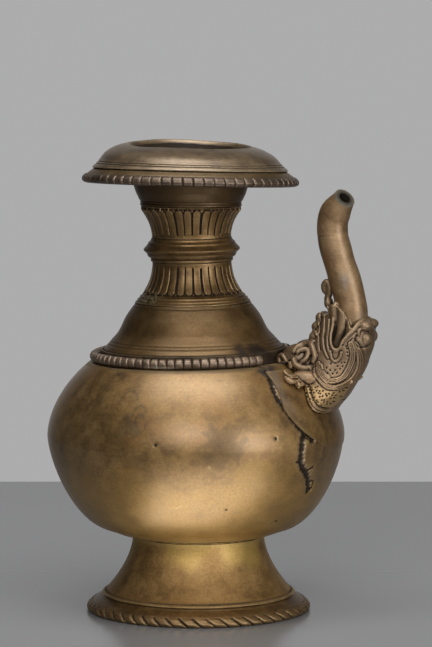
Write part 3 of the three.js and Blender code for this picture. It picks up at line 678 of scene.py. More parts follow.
@dataclass(frozen=True)
class AgedBrass:
    """Old brass: a warm metal under a brown skin, darkened by grime in its hollows and by painted
    shade laid into the same attribute.
    """

    name: str
    bright: Color = (0.345, 0.205, 0.07)
    mid: Color = (0.24, 0.132, 0.033)
    shade: Color = (0.12, 0.062, 0.017)
    # The dark colour of both grime and painted shade.
    grime_and_shade: Color = (0.020, 0.014, 0.009)
    worn: Color = (0.40, 0.275, 0.13)
    roughness: float = 0.47
    streaks: float = 0.4
    grain: float = 0.5
    skin: float = 0.82
    cloudy: float = 0.18
    coat: float = 1.0

    def material(self) -> bpy.types.Material:
        """Builds the finish, once for each name.

        Returns:
            The material.
        """
        found = bpy.data.materials.get(self.name)
        if found:
            return found
        material = bpy.data.materials.new(self.name)
        material.use_nodes = True
        tree = material.node_tree
        tree.nodes.clear()
        node = partial(wired, tree)

        def sums(operation: str, a: object, b: object) -> Socket:
            """One sum of two values."""
            return node("Math", {0: a, 1: b}, operation=operation).outputs[0]

        def weighed(*parts: tuple[Socket, float]) -> Socket:
            """Adds values up by their weights."""
            products = [sums("MULTIPLY", value, weight) for value, weight in parts]
            total = products[0]
            for product in products[1:]:
                total = sums("ADD", total, product)
            return total

        def mixed(factor: object, a: object, b: object) -> Socket:
            """Mixes two colours."""
            return node("Mix", {0: factor, 6: a, 7: b}, data_type="RGBA").outputs[2]

        def cloud(scale: float, detail: float, vector: Socket) -> Socket:
            """A soft random pattern."""
            inputs = {"Vector": vector, "Scale": scale, "Detail": detail, "Roughness": 0.55}
            return node("TexNoise", inputs).outputs[0]

        def between(value: object, *ends: float) -> Socket:
            """Stretches a value from one range to another, given as four ends."""
            return node("MapRange", dict(enumerate((value, *ends)))).outputs[0]

        def painted(name: str) -> bpy.types.Node:
            """Reads what is painted on the piece's vertices."""
            return node("Attribute", {}, attribute_name=name)

        place = node("TexCoord", {}).outputs["Object"]
        turned = node("Mapping", {"Vector": place, "Scale": (26.0, 26.0, 2300.0)}).outputs[0]
        turning = cloud(1.0, 4.0, turned)
        clouds = cloud(24.0, 5.0, place)
        mottle = cloud(130.0, 7.0, place)
        fine = cloud(1700.0, 2.0, place)
        grainy = cloud(520.0, 3.0, place)
        specks = between(grainy, 0.66, 0.74, 0.0, 0.75)

        mottled = 0.68 - self.cloudy
        tone = weighed((clouds, self.cloudy), (mottle, mottled), (turning, 0.15), (grainy, 0.17))
        ramp = node("ValToRGB", {0: tone})
        stops = ramp.color_ramp.elements
        stops[0].position, stops[0].color = 0.32, (*self.shade, 1.0)
        stops[1].position, stops[1].color = 0.68, (*self.bright, 1.0)
        stops.new(0.5).color = (*self.mid, 1.0)

        # The grime attribute holds grime in hollows together with painted shade; both darken the
        # metal below.
        grime_and_shade_share, rubbed = (painted(name).outputs["Fac"] for name in ("grime_and_shade", "wear"))
        stain = painted("stain")
        ragged = sums("ADD", grime_and_shade_share, sums("MULTIPLY", sums("SUBTRACT", mottle, 0.5), 0.7))
        dirt_and_shade = between(ragged, 0.12, 0.75, 0.0, 1.0)
        dirt_and_shade = sums("MULTIPLY", dirt_and_shade, between(grime_and_shade_share, 0.0, 0.12, 0.0, 1.0))
        dirt_and_shade = sums("MAXIMUM", dirt_and_shade, sums("MULTIPLY", specks, 0.55))
        shine = sums("MULTIPLY", rubbed, between(mottle, 0.3, 0.6, 0.35, 1.0))
        metal = mixed(shine, ramp.outputs[0], (*self.worn, 1.0))
        metal = mixed(stain.outputs["Alpha"], metal, stain.outputs["Color"])
        speckled = between(cloud(1000.0, 6.0, place), 0.3, 0.7, 0.82, 1.18)
        metal = node("HueSaturation", {"Color": metal, "Value": speckled}).outputs[0]

        rough = between(mottle, 0.3, 0.7, self.roughness - 0.05, self.roughness + 0.09)
        rough = sums("ADD", rough, sums("MULTIPLY", dirt_and_shade, 0.3))
        height = weighed((turning, self.streaks), (fine, self.grain), (specks, -0.8))
        bump = node("Bump", {"Strength": 0.35, "Distance": 0.00012, "Height": height})
        inputs = {
            "Base Color": mixed(dirt_and_shade, metal, (*self.grime_and_shade, 1.0)),
            "Metallic": between(dirt_and_shade, 0.0, 1.0, self.skin, 0.1),
            "Roughness": rough,
            "Specular IOR Level": between(dirt_and_shade, 0.0, 1.0, 0.5, 0.08),
            "Normal": bump.outputs[0],
            "Coat Weight": between(dirt_and_shade, 0.0, 1.0, self.coat, 0.05),
            "Coat Roughness": 0.4,
        }
        shader = node("BsdfPrincipled", inputs)
        node("OutputMaterial", {"Surface": shader.outputs[0]})
        return material


class Finish(Enum):
    """The finishes of the pot's pieces."""

    BODY = AgedBrass("raised_brass")
    FOOT = AgedBrass(
        "matt_brass",
        bright=(0.40, 0.245, 0.09),
        mid=(0.29, 0.165, 0.052),
        shade=(0.165, 0.088, 0.028),
        coat=0.25,
        roughness=0.56,
    )
    TURNED = AgedBrass(
        "turned_brass",
        bright=(0.28, 0.165, 0.056),
        mid=(0.165, 0.092, 0.029),
        shade=(0.066, 0.034, 0.01),
        worn=(0.25, 0.16, 0.07),
        coat=0.35,
    )
    RIM = AgedBrass(
        "handled_brass",
        bright=(0.235, 0.16, 0.088),
        mid=(0.165, 0.108, 0.055),
        shade=(0.085, 0.053, 0.024),
        worn=(0.33, 0.24, 0.14),
    )
    # A darker copy of the turned brass; on the funnel it is partly painted shade, standing in for
    # the rim's shadow.
    DARK = AgedBrass(
        "browned_and_shaded_brass",
        bright=(0.18, 0.10, 0.032),
        mid=(0.127, 0.068, 0.019),
        shade=(0.072, 0.037, 0.011),
        worn=(0.20, 0.125, 0.05),
        cloudy=0.33,
        coat=0.35,
    )
    BEAD = AgedBrass(
        "rubbed_beads",
        bright=(0.15, 0.10, 0.062),
        mid=(0.09, 0.058, 0.034),
        shade=(0.04, 0.025, 0.014),
        worn=(0.26, 0.185, 0.125),
        coat=0.5,
        roughness=0.5,
        streaks=0.1,
    )
    COPPER = AgedBrass(
        "cast_copper_brass",
        bright=(0.32, 0.205, 0.105),
        mid=(0.225, 0.132, 0.06),
        shade=(0.12, 0.066, 0.028),
        worn=(0.34, 0.225, 0.115),
        coat=0.5,
        roughness=0.52,
        streaks=0.12,
        grain=0.9,
        skin=0.7,
    )
    FRESH = AgedBrass(
        "braze",
        bright=(0.40, 0.27, 0.07),
        mid=(0.24, 0.15, 0.035),
        shade=(0.07, 0.04, 0.012),
        roughness=0.5,
    )


@dataclass
class Piece:
    """One visible piece, from its mesh in millimetres to its place in the frame."""

    name: str
    replaced: Sequence[str]
    slot: str
    finish: Finish
    hollow_depth: float = 0.25
    rounds: int = 14
    sharp: float = 40.0

    def finished(
        self, bm: Mesh, stain: Optional[Stain] = None, added_grime_and_shade: Optional[Array] = None
    ) -> None:
        """Settles a mesh, weathers it, adds the painted shade it is given, dresses it and hangs it
        on the frame.

        Args:
            bm: the piece in millimetres; it is freed.
            stain: paints onto the arrays of places and of stains; on the funnel and the tip this
                includes painted shade.
            added_grime_and_shade: grime and painted shade to add, one value per vertex.
        """
        co = places(bm)
        mesh = meshed(self.name, bm)
        depth = hollows(mesh, co, self.rounds) / self.hollow_depth
        # Grime in the hollows; the caller's painted shade is added to it below.
        grime_and_shade = np.clip(depth, 0.0, 1.0)
        if added_grime_and_shade is not None:
            grime_and_shade = np.clip(grime_and_shade + added_grime_and_shade, 0.0, 1.0)
        stains = np.zeros((len(co), 4))
        if stain:
            stain(co, stains)
        for name, values in (("grime_and_shade", grime_and_shade), ("wear", np.clip(-depth, 0.0, 1.0))):
            made = mesh.attributes.new(name, "FLOAT", "POINT")
            made.data.foreach_set("value", values.astype(np.float32))
        painted = mesh.attributes.new("stain", "FLOAT_COLOR", "POINT")
        painted.data.foreach_set("color", stains.astype(np.float32).ravel())
        mesh.vertices.foreach_set("co", SETTLING.settle(co).astype(np.float32).ravel())
        mesh.polygons.foreach_set("use_smooth", [True] * len(mesh.polygons))
        mesh.set_sharp_from_angle(angle=math.radians(self.sharp))
        mesh.materials.append(self.finish.value.material())
        mesh.update()
        made = shown(self.name, mesh)
        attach(made, "root")
        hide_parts(*self.replaced)
        LOG.info("%s: %d faces", self.name, len(mesh.polygons))


@dataclass
class Foot:
    """The flared foot, its rope border and the braze under the body."""

    sheet: float = 1.6
    flare_power: float = 1.8
    strands: int = 52
    strand_depth: float = 1.3
    strand_slant: float = 0.7
    border_steps: Points = (
        (-5.4, 0.0), (-1.2, 0.0), (-0.1, 0.9), (0.1, 1.9),
        (-0.9, 3.7), (-2.6, 4.9), (-2.9, 4.5), (-3.3, 4.95),
    )
    braze_steps: Points = (
        (-1.9, 0.32), (0.1, 0.32), (0.9, 0.5), (1.1, 0.8), (0.9, 1.08), (-1.9, 1.1),
    )

    def build(self) -> None:
        """Builds the foot's three pieces."""
        self._flare()
        self._border()
        self._braze()

    def _flare(self) -> None:
        """The sheet that flares from the joint down to the border."""
        edge, low = POT.foot_edge_radius, POT.foot_border_height + SEAM
        outline = []
        for i in range(41):
            down = 1.0 - i / 40
            r = POT.foot_top_radius + (edge - POT.foot_top_radius) * down**self.flare_power
            outline.append((r, low + (POT.foot_top - low) * (1.0 - down)))
        outer = stepped(edge, low, ((0.1, 0.0), (0.55, 0.35), (0.2, 0.8)))
        outer += [p for p in outline if p[1] > low + 1.1]
        inner = [(r - self.sheet, z) for r, z in outline[::2]]

        def stain(co: Array, stains: Array) -> None:
            """Fresh yellow metal under the joint."""
            height = co[:, 2] - 27.0 + 12.0 * cloudiness(co * (0.08, 0.08, 0.05))
            lay(stains, 0.7 * smooth_step(height / 10.0), Tint.FRESH_METAL)

        piece = Piece("foot_flare_brass", ["foot_flare"], "old_brass", Finish.FOOT)
        piece.finished(spun(outer + inner[::-1], WIDE_STEPS), stain)

    def _border(self) -> None:
        """The cast border, whose edge is a twisted rope."""
        edge, joint = POT.foot_border_radius, POT.foot_edge_radius
        outline = stepped(edge, 0.0, self.border_steps) + [(joint + 0.7, 7.3)]
        outline += stepped(joint, POT.foot_border_height, ((-0.2, 0.0), (-2.2, 0.0)))
        bm = spun(evenly(softened(outline, 0.5), 0.45), self.strands * ROPE_STEPS)
        groove_start, groove_end = edge - 2.9, edge - 1.4

        def relief(r: Array, a: Array, z: Array) -> Rounds:
            """Slanted rounded strands on the border's edge."""
            turn = a / math.tau * self.strands + self.strand_slant * z / 4.0
            across = np.abs((turn + 0.5 + 0.05 * np.sin(7.0 * a)) % 1.0 - 0.5) * 2.0
            depth = self.strand_depth * (0.85 + 0.25 * np.sin(13.0 * a + 1.0))
            swell = np.clip(across, 0.0, 1.0) ** 5
            on_rope = smooth_step((r - groove_start) / (groove_end - groove_start)) * (z > 0.02)
            return r - depth * swell * on_rope, a, z

        carve_round(bm, relief)
        name, replaced = "foot_rope_border_brass", ["foot_rope_border"]
        Piece(name, replaced, "dark_brass", Finish.TURNED, 0.12, 10).finished(bm)

    def _braze(self) -> None:
        """The uneven braze between the foot and the body."""
        ring = stepped(POT.foot_top_radius, POT.foot_top, self.braze_steps)
        bm = spun(softened(ring, 0.2), 260)

        def relief(r: Array, a: Array, z: Array) -> Rounds:
            """Runs and gaps of the braze."""
            wave = 0.35 * np.sin(5 * a + 0.4) + 0.25 * np.sin(17 * a) + 0.2 * np.sin(41 * a + 2.0)
            return r + wave * (r > POT.foot_top_radius), a, z

        carve_round(bm, relief)
        Piece("foot_braze", ["foot_braze_seam"], "fresh_brass", Finish.FRESH).finished(bm)


def body_side(rows: int) -> Outline:
    """The body's outside from the heel to the shoulder, with as many rows in each half."""
    bowl, dome = 2 / POT.body_bowl_fullness, 2 / POT.body_dome_fullness
    made = []
    for i in range(rows + 1):
        t = (1.0 - i / rows) * math.pi / 2
        r = POT.body_heel_radius + (POT.body_radius - POT.body_heel_radius) * math.cos(t) ** bowl
        made.append((r, POT.body_widest - POT.body_bowl_height * math.sin(t) ** bowl))
    for i in range(1, rows + 1):
        t = POT.shoulder_turn * i / rows
        r = POT.body_dome_aim + (POT.body_radius - POT.body_dome_aim) * math.cos(t) ** dome
        made.append((r, POT.body_widest + POT.body_dome_height * math.sin(t) ** dome))
    return made


def body_wall(z: Array, outside: float = 0.0, above: Optional[float] = None) -> Array:
    """The body's radius at heights.

    Args:
        z: the heights.
        outside: a distance outside the body at which the radius is taken.
        above: the radius over the shoulder, if it isn't the shoulder's.

    Returns:
        One radius per height.
    """
    outline = np.array(shifted(body_side(FINE_ROWS), outside))
    return np.interp(z, outline[:, 1], outline[:, 0], right=above)


def on_body(azimuth: float, z: float) -> Array:
    """The place on the body's outside at an azimuth in degrees and a height."""
    r, a = float(body_wall(z)), math.radians(azimuth)
    return np.array([r * math.cos(a), r * math.sin(a), z])


@dataclass
class Body:
    """The raised body with its scars, whose places are azimuths in degrees and heights."""

    sheet: float = 2.0
    dense_from: float = -112.0
    dense_to: float = -8.0
    crack: Points = (
        (-24.2, 91.4), (-28.8, 93.0), (-30.4, 87.2), (-30.1, 80.5),
        (-27.0, 76.0), (-24.7, 73.5), (-20.6, 65.7),
    )
    branches: tuple[Points, ...] = (
        ((-27.0, 76.0), (-22.2, 77.9)),
        ((-30.1, 80.5), (-33.0, 81.5)),
        ((-22.6, 69.5), (-19.6, 70.5), (-18.8, 66.0)),
    )
    plate_edge: Points = (
        (-34.0, 123.5), (-36.6, 112.8), (-35.0, 107.4), (-31.0, 98.6), (-27.4, 94.2), (-24.2, 91.4),
    )
    nicks: Points = (
        (-33.6, 51.4, 0.9), (-90.0, 92.5, 0.8), (-42.6, 93.8, 0.7), (-62.0, 60.0, 0.5),
    )
    curls: Points = (
        (-97.5, 104.0, 5.4, 6.5),
        (-97.0, 103.0, 4.2, 3.6),
        (-104.0, 108.0, 2.2, 9.0),
        (-13.7, 85.0, 3.4, 4.6),
        (-15.0, 80.0, 2.6, 2.6),
    )
    scratches: tuple[Points, ...] = (
        ((-73.5, 92.2), (-69.5, 81.5)),
        ((-84.0, 60.5), (-81.0, 62.5)),
    )
    patches: tuple = (
        (-64.0, 92.0, 15.0, Tint.BROWN_CLOUD, 0.55),
        (-100.0, 99.0, 8.0, Tint.PALE_CLOUD, 0.5),
        (-36.0, 124.0, 4.0, Tint.DARK_SOLDER, 0.95),
        (-30.0, 125.0, 4.0, Tint.BROWN_SOLDER, 0.9),
        (-27.2, 90.8, 1.5, Tint.BRIGHT_NICK, 0.8),
    )

    def _bare(self) -> Mesh:
        """The body before its scars, with finer steps where the camera sees it."""
        sheet, floor, top = self.sheet, POT.body_floor, POT.shoulder
        outer = [(0.0, floor), (POT.foot_top_radius, floor), (40.5, floor + 0.9)]
        outer += evenly(body_side(FINE_ROWS), 0.75)
        inner = [p for p in shifted(body_side(14), -sheet) if p[1] < top - 1.9 * sheet]
        rim = [(POT.body_mouth_radius, top), (POT.body_mouth_radius, top - sheet)]
        inside = [(POT.body_shoulder_radius - sheet, top - sheet)] + inner[::-1]
        inside += [(POT.foot_top_radius, floor + sheet), (0.0, floor + sheet)]
        profile = outer + rim + inside
        start, end = math.radians(self.dense_from), math.radians(self.dense_to)
        dense = spun(profile, 190, start, end - start, closed=False)
        bm = gathered([dense, spun(profile, 90, end, math.tau - (end - start), closed=False)])
        bmesh.ops.remove_doubles(bm, verts=bm.verts, dist=MERGED)
        bmesh.ops.recalc_face_normals(bm, faces=bm.faces)
        return bm

    def build(self) -> None:
        """Builds the body and carves its scars."""
        bm = self._bare()
        co = places(bm)
        z = co[:, 2]
        radius, azimuth = np.hypot(co[:, 0], co[:, 1]), np.arctan2(co[:, 1], co[:, 0])
        outside = np.abs(radius - body_wall(z)) < 0.6
        waves = 0.18 * np.sin(3 * azimuth + z * 0.05) + 0.12 * np.sin(7 * azimuth - z * 0.09)
        push = outside * waves
        added_grime_and_shade = np.zeros(len(co))
        rough = cloudiness(co, 0.9)
        scars = [(self.crack, 1.4, 1.4), (self.plate_edge, 1.25, 1.2)]
        for path, width, depth in scars + [(b, 0.55, 0.5) for b in self.branches]:
            distance, along = path_distance(co, flowing([on_body(*p) for p in path], 40))
            ragged = 1.0 + 0.45 * np.sin(along * 1.9) * np.sin(along * 0.73 + 1.0) + 0.5 * rough
            wide = width * np.clip(ragged, 0.35, 1.8)
            distance = distance + 0.5 * rough
            push -= outside * depth * peak(distance, wide)
            push += outside * 0.12 * peak(distance - 1.9 * width, 0.8 * width)
            added_grime_and_shade += outside * 1.2 * peak(distance, 0.95 * wide)
        for at, height, size in self.nicks:
            hit = outside * peak(np.linalg.norm(co - on_body(at, height), axis=1), size)
            push -= 0.4 * hit
            added_grime_and_shade += 1.1 * hit
        co[:, :2] *= (1.0 + push / np.maximum(radius, 1.0))[:, None]
        put(bm, co)
        # Painted shade: darker bands at the body's foot and under the collar, where the pieces
        # meet.
        added_grime_and_shade += 0.55 * outside * smooth_step((POT.body_floor + 4.6 - z) / 3.0)
        added_grime_and_shade += 0.5 * outside * smooth_step((z - POT.shoulder + 2.2) / 2.0)
        piece = Piece("body_brass", ["body_shell"], "old_brass", Finish.BODY, 0.5)
        piece.finished(bm, self._stained, added_grime_and_shade)

    def _stained(self, co: Array, stains: Array) -> None:
        """Scratches, solder and patches of other colours."""
        drift, ripple = cloudiness(co, 0.045), cloudiness(co, 0.16, 7.0)
        low = smooth_step((88.0 - co[:, 2] + 34.0 * drift + 10.0 * ripple) / 26.0)
        lay(stains, 0.5 * low, Tint.ORANGE_SKIN)
        lay(stains, 0.45 * smooth_step(2.6 * drift + 1.2 * ripple - 0.15), Tint.RED_SKIN)

        def drawn(line: Array, width: float, tint: Tint, strength: float) -> None:
            """Paints a soft line."""
            lay(stains, strength * peak(path_distance(co, line)[0], width), tint)

        for path in self.scratches:
            drawn(np.array([on_body(*p) for p in path]), 0.45, Tint.SCRATCHED, 0.6)
        for path in (self.crack, self.plate_edge):
            drawn(flowing([on_body(*p) for p in path], 30), 2.0, Tint.CRACK_GRIME, 0.85)
        for at, z, turns, reach in self.curls:
            around = np.linspace(0.6, 0.6 + turns, 16)
            ring = [(at + 0.55 * reach * math.cos(t), z + reach * math.sin(t)) for t in around]
            drawn(np.array([on_body(*p) for p in ring]), 0.6, Tint.FAINT_CURL, 0.65)
        for at, z, reach, tint, strength in self.patches:
            daub(co, stains, on_body(at, z), reach, tint, strength)


@dataclass
class BeadCollar:
    """The string of beads round the shoulder."""

    beads: int = 76
    break_angle: float = 33.0

    def build(self) -> None:
        """Builds the collar."""
        radius, tube = POT.collar_radius, POT.collar_bead_radius
        height = POT.shoulder + SEAM + tube
        turns = [math.tau * (k + 0.5) / 22 for k in range(22)]
        ring = [(radius + tube * math.cos(t), height + tube * math.sin(t)) for t in turns]
        start = math.radians(self.break_angle)
        arc = math.tau - 2 * start
        count = round(self.beads * arc / math.tau)
        bm = spun(ring, count * ROPE_STEPS, start, arc)

        def relief(r: Array, a: Array, z: Array) -> Rounds:
            """Barrel-shaped beads between narrow grooves."""
            turn = ((a - start) % math.tau) / arc * count
            number = np.floor(turn)
            across = np.abs((turn % 1.0) - 0.5) * 2.0
            jitter = 0.5 + 0.5 * np.sin(number * 12.9898)
            size = 1.0 - (0.03 + 0.07 * jitter) - (0.30 + 0.08 * jitter) * across**6
            dr, dz = r - radius, z - (height - 0.2)
            lowered = (1.0 - size) * tube * 0.6
            return radius + dr * size, a, height - 0.2 + dz * size + 0.2 * size - lowered

        carve_round(bm, relief)
        co = places(bm)
        streak = smooth_step(1.4 - np.abs(azimuths(co) + 94.0) / 9.0)
        streak *= smooth_step((height - 0.7 - co[:, 2]) / 0.6)

        def stain(_: Array, stains: Array) -> None:
            """A streak of lime under the beads."""
            lay(stains, 0.9 * streak, Tint.WHITE_LIME)

        # Painted shade: the lower half of the beads is darkened; the lime streak clears it.
        piece = Piece("bead_collar_brass", ["bead_collar"], "dark_brass", Finish.BEAD, 0.1, 8)
        piece.finished(bm, stain, 0.45 * (co[:, 2] < height - 1.3) - 1.2 * streak)


@dataclass
class Bell:
    """The bell-shaped shoulder piece."""

    sheet: float = 1.7
    flare: float = POT.bell_foot + 6.6
    flare_radius: float = 44.6
    crown_radius: float = 33.6
    skirt: float = POT.collar_radius - POT.collar_bead_radius - SEAM

    def outline(self, count: int) -> Outline:
        """The bell's outside, with a count of points over its skirt."""
        span = POT.bell_top - self.flare
        across = (
            (self.flare_radius, self.flare),
            (self.flare_radius - 2.9, self.flare + 0.15 * span),
            (self.flare_radius - 7.1, self.flare + 0.36 * span),
            (self.crown_radius, self.flare + 0.7 * span),
            (POT.bell_top_radius, POT.bell_top),
        )
        skirt = [(self.skirt, POT.bell_foot), (self.skirt, self.flare - 0.5)]
        return skirt + [tuple(p) for p in flowing(across, count)]

    def build(self) -> None:
        """Builds the bell."""
        foot, flare, skirt = POT.bell_foot, self.flare, self.skirt
        curve = self.outline(90)[2:]
        outer = [(skirt, foot), (skirt, flare - 1.4), (skirt - 0.5, flare - 0.5)]
        outer += [(self.flare_radius + 0.4, flare - 0.7)] + curve
        lines = ((flare + 2.2, 0.45, 0.3), (flare + 3.5, 0.45, 0.3), (POT.bell_top - 1.4, 0.3, 0.2))
        r, z = np.array(outer, float).T
        carved = list(zip(r - sum(deep * peak(z - at, wide) for at, wide, deep in lines), z))
        inside = shifted(curve[::6], -self.sheet)[::-1]
        inside += [(skirt - self.sheet, flare - 0.7), (skirt - self.sheet, foot)]
        bm = spun(softened(carved[:5], 0.35) + carved[5:] + inside, 150)

        def stain(co: Array, stains: Array) -> None:
            """Solder over the bell's foot beside the spout."""
            for azimuth in (-42.0, -33.0, -26.0):
                a = math.radians(azimuth)
                centre = (44.0 * math.cos(a), 44.0 * math.sin(a), flare + 0.2)
                daub(co, stains, centre, 4.5, Tint.BLACK_SOLDER, 0.85)

        # Painted shade: a darker band on the skirt under the bell's flare.
        piece = Piece("shoulder_bell_brass", ["shoulder_bell"], "dark_brass", Finish.DARK, 0.12)
        piece.finished(bm, stain, 0.7 * smooth_step((flare - 0.2 - places(bm)[:, 2]) / 0.8))


class PetalWay(Enum):
    """Which way a band's petals point."""

    UP = 1
    DOWN = -1


@dataclass
class Neck:
    """The two petal bands and the ring between them."""

    petals: int = 32
    depth: float = 0.95
    steps: int = 18
    ledge_radius: float = 24.9
    ledge: Points = (
        (28.8, 0.0), (28.7, 0.5), (27.9, 0.9), (27.7, 1.3), (27.6, 1.9),
        (26.7, 2.3), (26.5, 2.7), (26.3, 3.4), (25.5, 3.8), (24.9, 4.4),
    )
    knop: Points = (
        (0.7, 0.0), (0.9, 0.9), (0.5, 1.5), (1.9, 2.3), (2.5, 3.3), (2.5, 3.9), (4.2, 5.5),
        (4.35, 6.0), (4.1, 6.5), (2.4, 8.3), (2.1, 8.7), (1.9, 9.5), (0.7, 10.4), (0.5, 11.0),
        (0.3, POT.knop_height),
    )

    def build(self) -> None:
        """Builds the neck's three pieces."""
        self._lower()
        self._knop()
        self._upper()

    def _carved(self, bm: Mesh, tip: float, root: float, way: PetalWay) -> None:
        """Cuts the grooves between petals.

        Args:
            bm: the band.
            tip: the height of the petals' rounded tips.
            root: the height at which the grooves end at the waist.
            way: which way the tips point.
        """

        def relief(r: Array, a: Array, z: Array) -> Rounds:
            """Narrow petals with rounded tips."""
            turn = a / math.tau * self.petals
            number = np.floor(turn + 0.5)
            turn = turn + 0.05 * np.sin(number * 4.1)
            across = np.abs((turn + 0.5) % 1.0 - 0.5)
            to_tip, to_root = (tip - z) * way.value, (z - root) * way.value
            rounded = 1.0 - np.clip(1.0 - to_tip / 1.9, 0.0, 1.0) ** 2
            inside = smooth_step((across - 0.37 * np.sqrt(np.clip(rounded, 0.0, 1.0))) / 0.07)
            wander = 0.5 * np.sin(number * 7.7)
            cuts = inside * smooth_step((to_root + wander) / 0.8)
            cuts = cuts * smooth_step((to_tip + 0.75) / 0.4)
            swell = 0.16 * np.cos(across * math.pi)
            swell = swell * smooth_step(to_tip / 2.0) * smooth_step(to_root / 2.0)
            on_outside = r > POT.neck_bore + 2.0
            return r - on_outside * (self.depth * cuts - swell), a, z

        carve_round(bm, relief)

    def _lower(self) -> None:
        """The lower band, whose petals hang down."""
        foot = POT.lower_petal_foot
        top = foot + POT.lower_petal_height
        rows = []
        for i in range(50):
            up = i / 49
            r = POT.neck_waist + (self.ledge_radius - POT.neck_waist) * (1 - up) ** 2.2
            rows.append((r, foot + 4.6 + (top - 0.5 - foot - 4.6) * up))
        bore = [(POT.neck_waist, top), (POT.neck_bore, top), (22.4, foot + 4.0), (24.4, foot)]
        ledge = softened(stepped(0.0, foot, self.ledge), 0.2)
        bm = spun(ledge + rows + bore, self.petals * self.steps)
        self._carved(bm, foot + 5.0, top - 1.6, PetalWay.DOWN)

        def stain(co: Array, stains: Array) -> None:
            """Lime at the petals' tips on the left."""
            patch = smooth_step(1.0 - np.abs(azimuths(co) + 128.0) / 22.0)
            patch = patch * smooth_step(1.2 - np.abs(co[:, 2] - foot - 3.2) / 3.4)
            speckle = cloudiness(co * (1.4, 1.4, 0.6)) > 0.02
            lay(stains, 0.95 * patch * speckle, Tint.YELLOW_LIME)

        name, replaced = "lower_petals_brass", ["lower_neck_petals"]
        Piece(name, replaced, "old_brass", Finish.TURNED, 0.11, 10).finished(bm, stain)

    def _upper(self) -> None:
        """The upper band, whose petals stand up."""
        foot, waist, edge = POT.upper_petal_foot, POT.neck_waist, POT.upper_petal_radius
        top = foot + POT.upper_petal_height
        rows = [(waist, foot)]
        for i in range(44):
            up = i / 43
            height = foot + 0.6 + (top - 1.6 - foot - 0.6) * up
            rows.append((waist + (edge - waist) * up**2, height))
        rows += [(edge + 0.1, top - 0.9), (edge, top), (POT.neck_bore, top), (POT.neck_bore, foot)]
        bm = spun(rows, self.petals * self.steps)
        self._carved(bm, top - 1.3, foot + 1.6, PetalWay.UP)
        name, replaced = "upper_petals_brass", ["upper_neck_petals"]
        Piece(name, replaced, "old_brass", Finish.TURNED, 0.11, 10).finished(bm)

    def _knop(self) -> None:
        """The ring between the bands, with two sharp tiers."""
        bore, foot = POT.neck_bore, POT.knop_foot
        tiers = stepped(POT.neck_waist, foot, self.knop)
        outline = [(bore, foot)] + tiers + [(bore, foot + POT.knop_height)]
        bm = spun(softened(outline, 0.35), NARROW_STEPS)
        piece = Piece("neck_knop_brass", ["neck_knop"], "dark_brass", Finish.TURNED, 0.16, 8)
        piece.finished(bm)


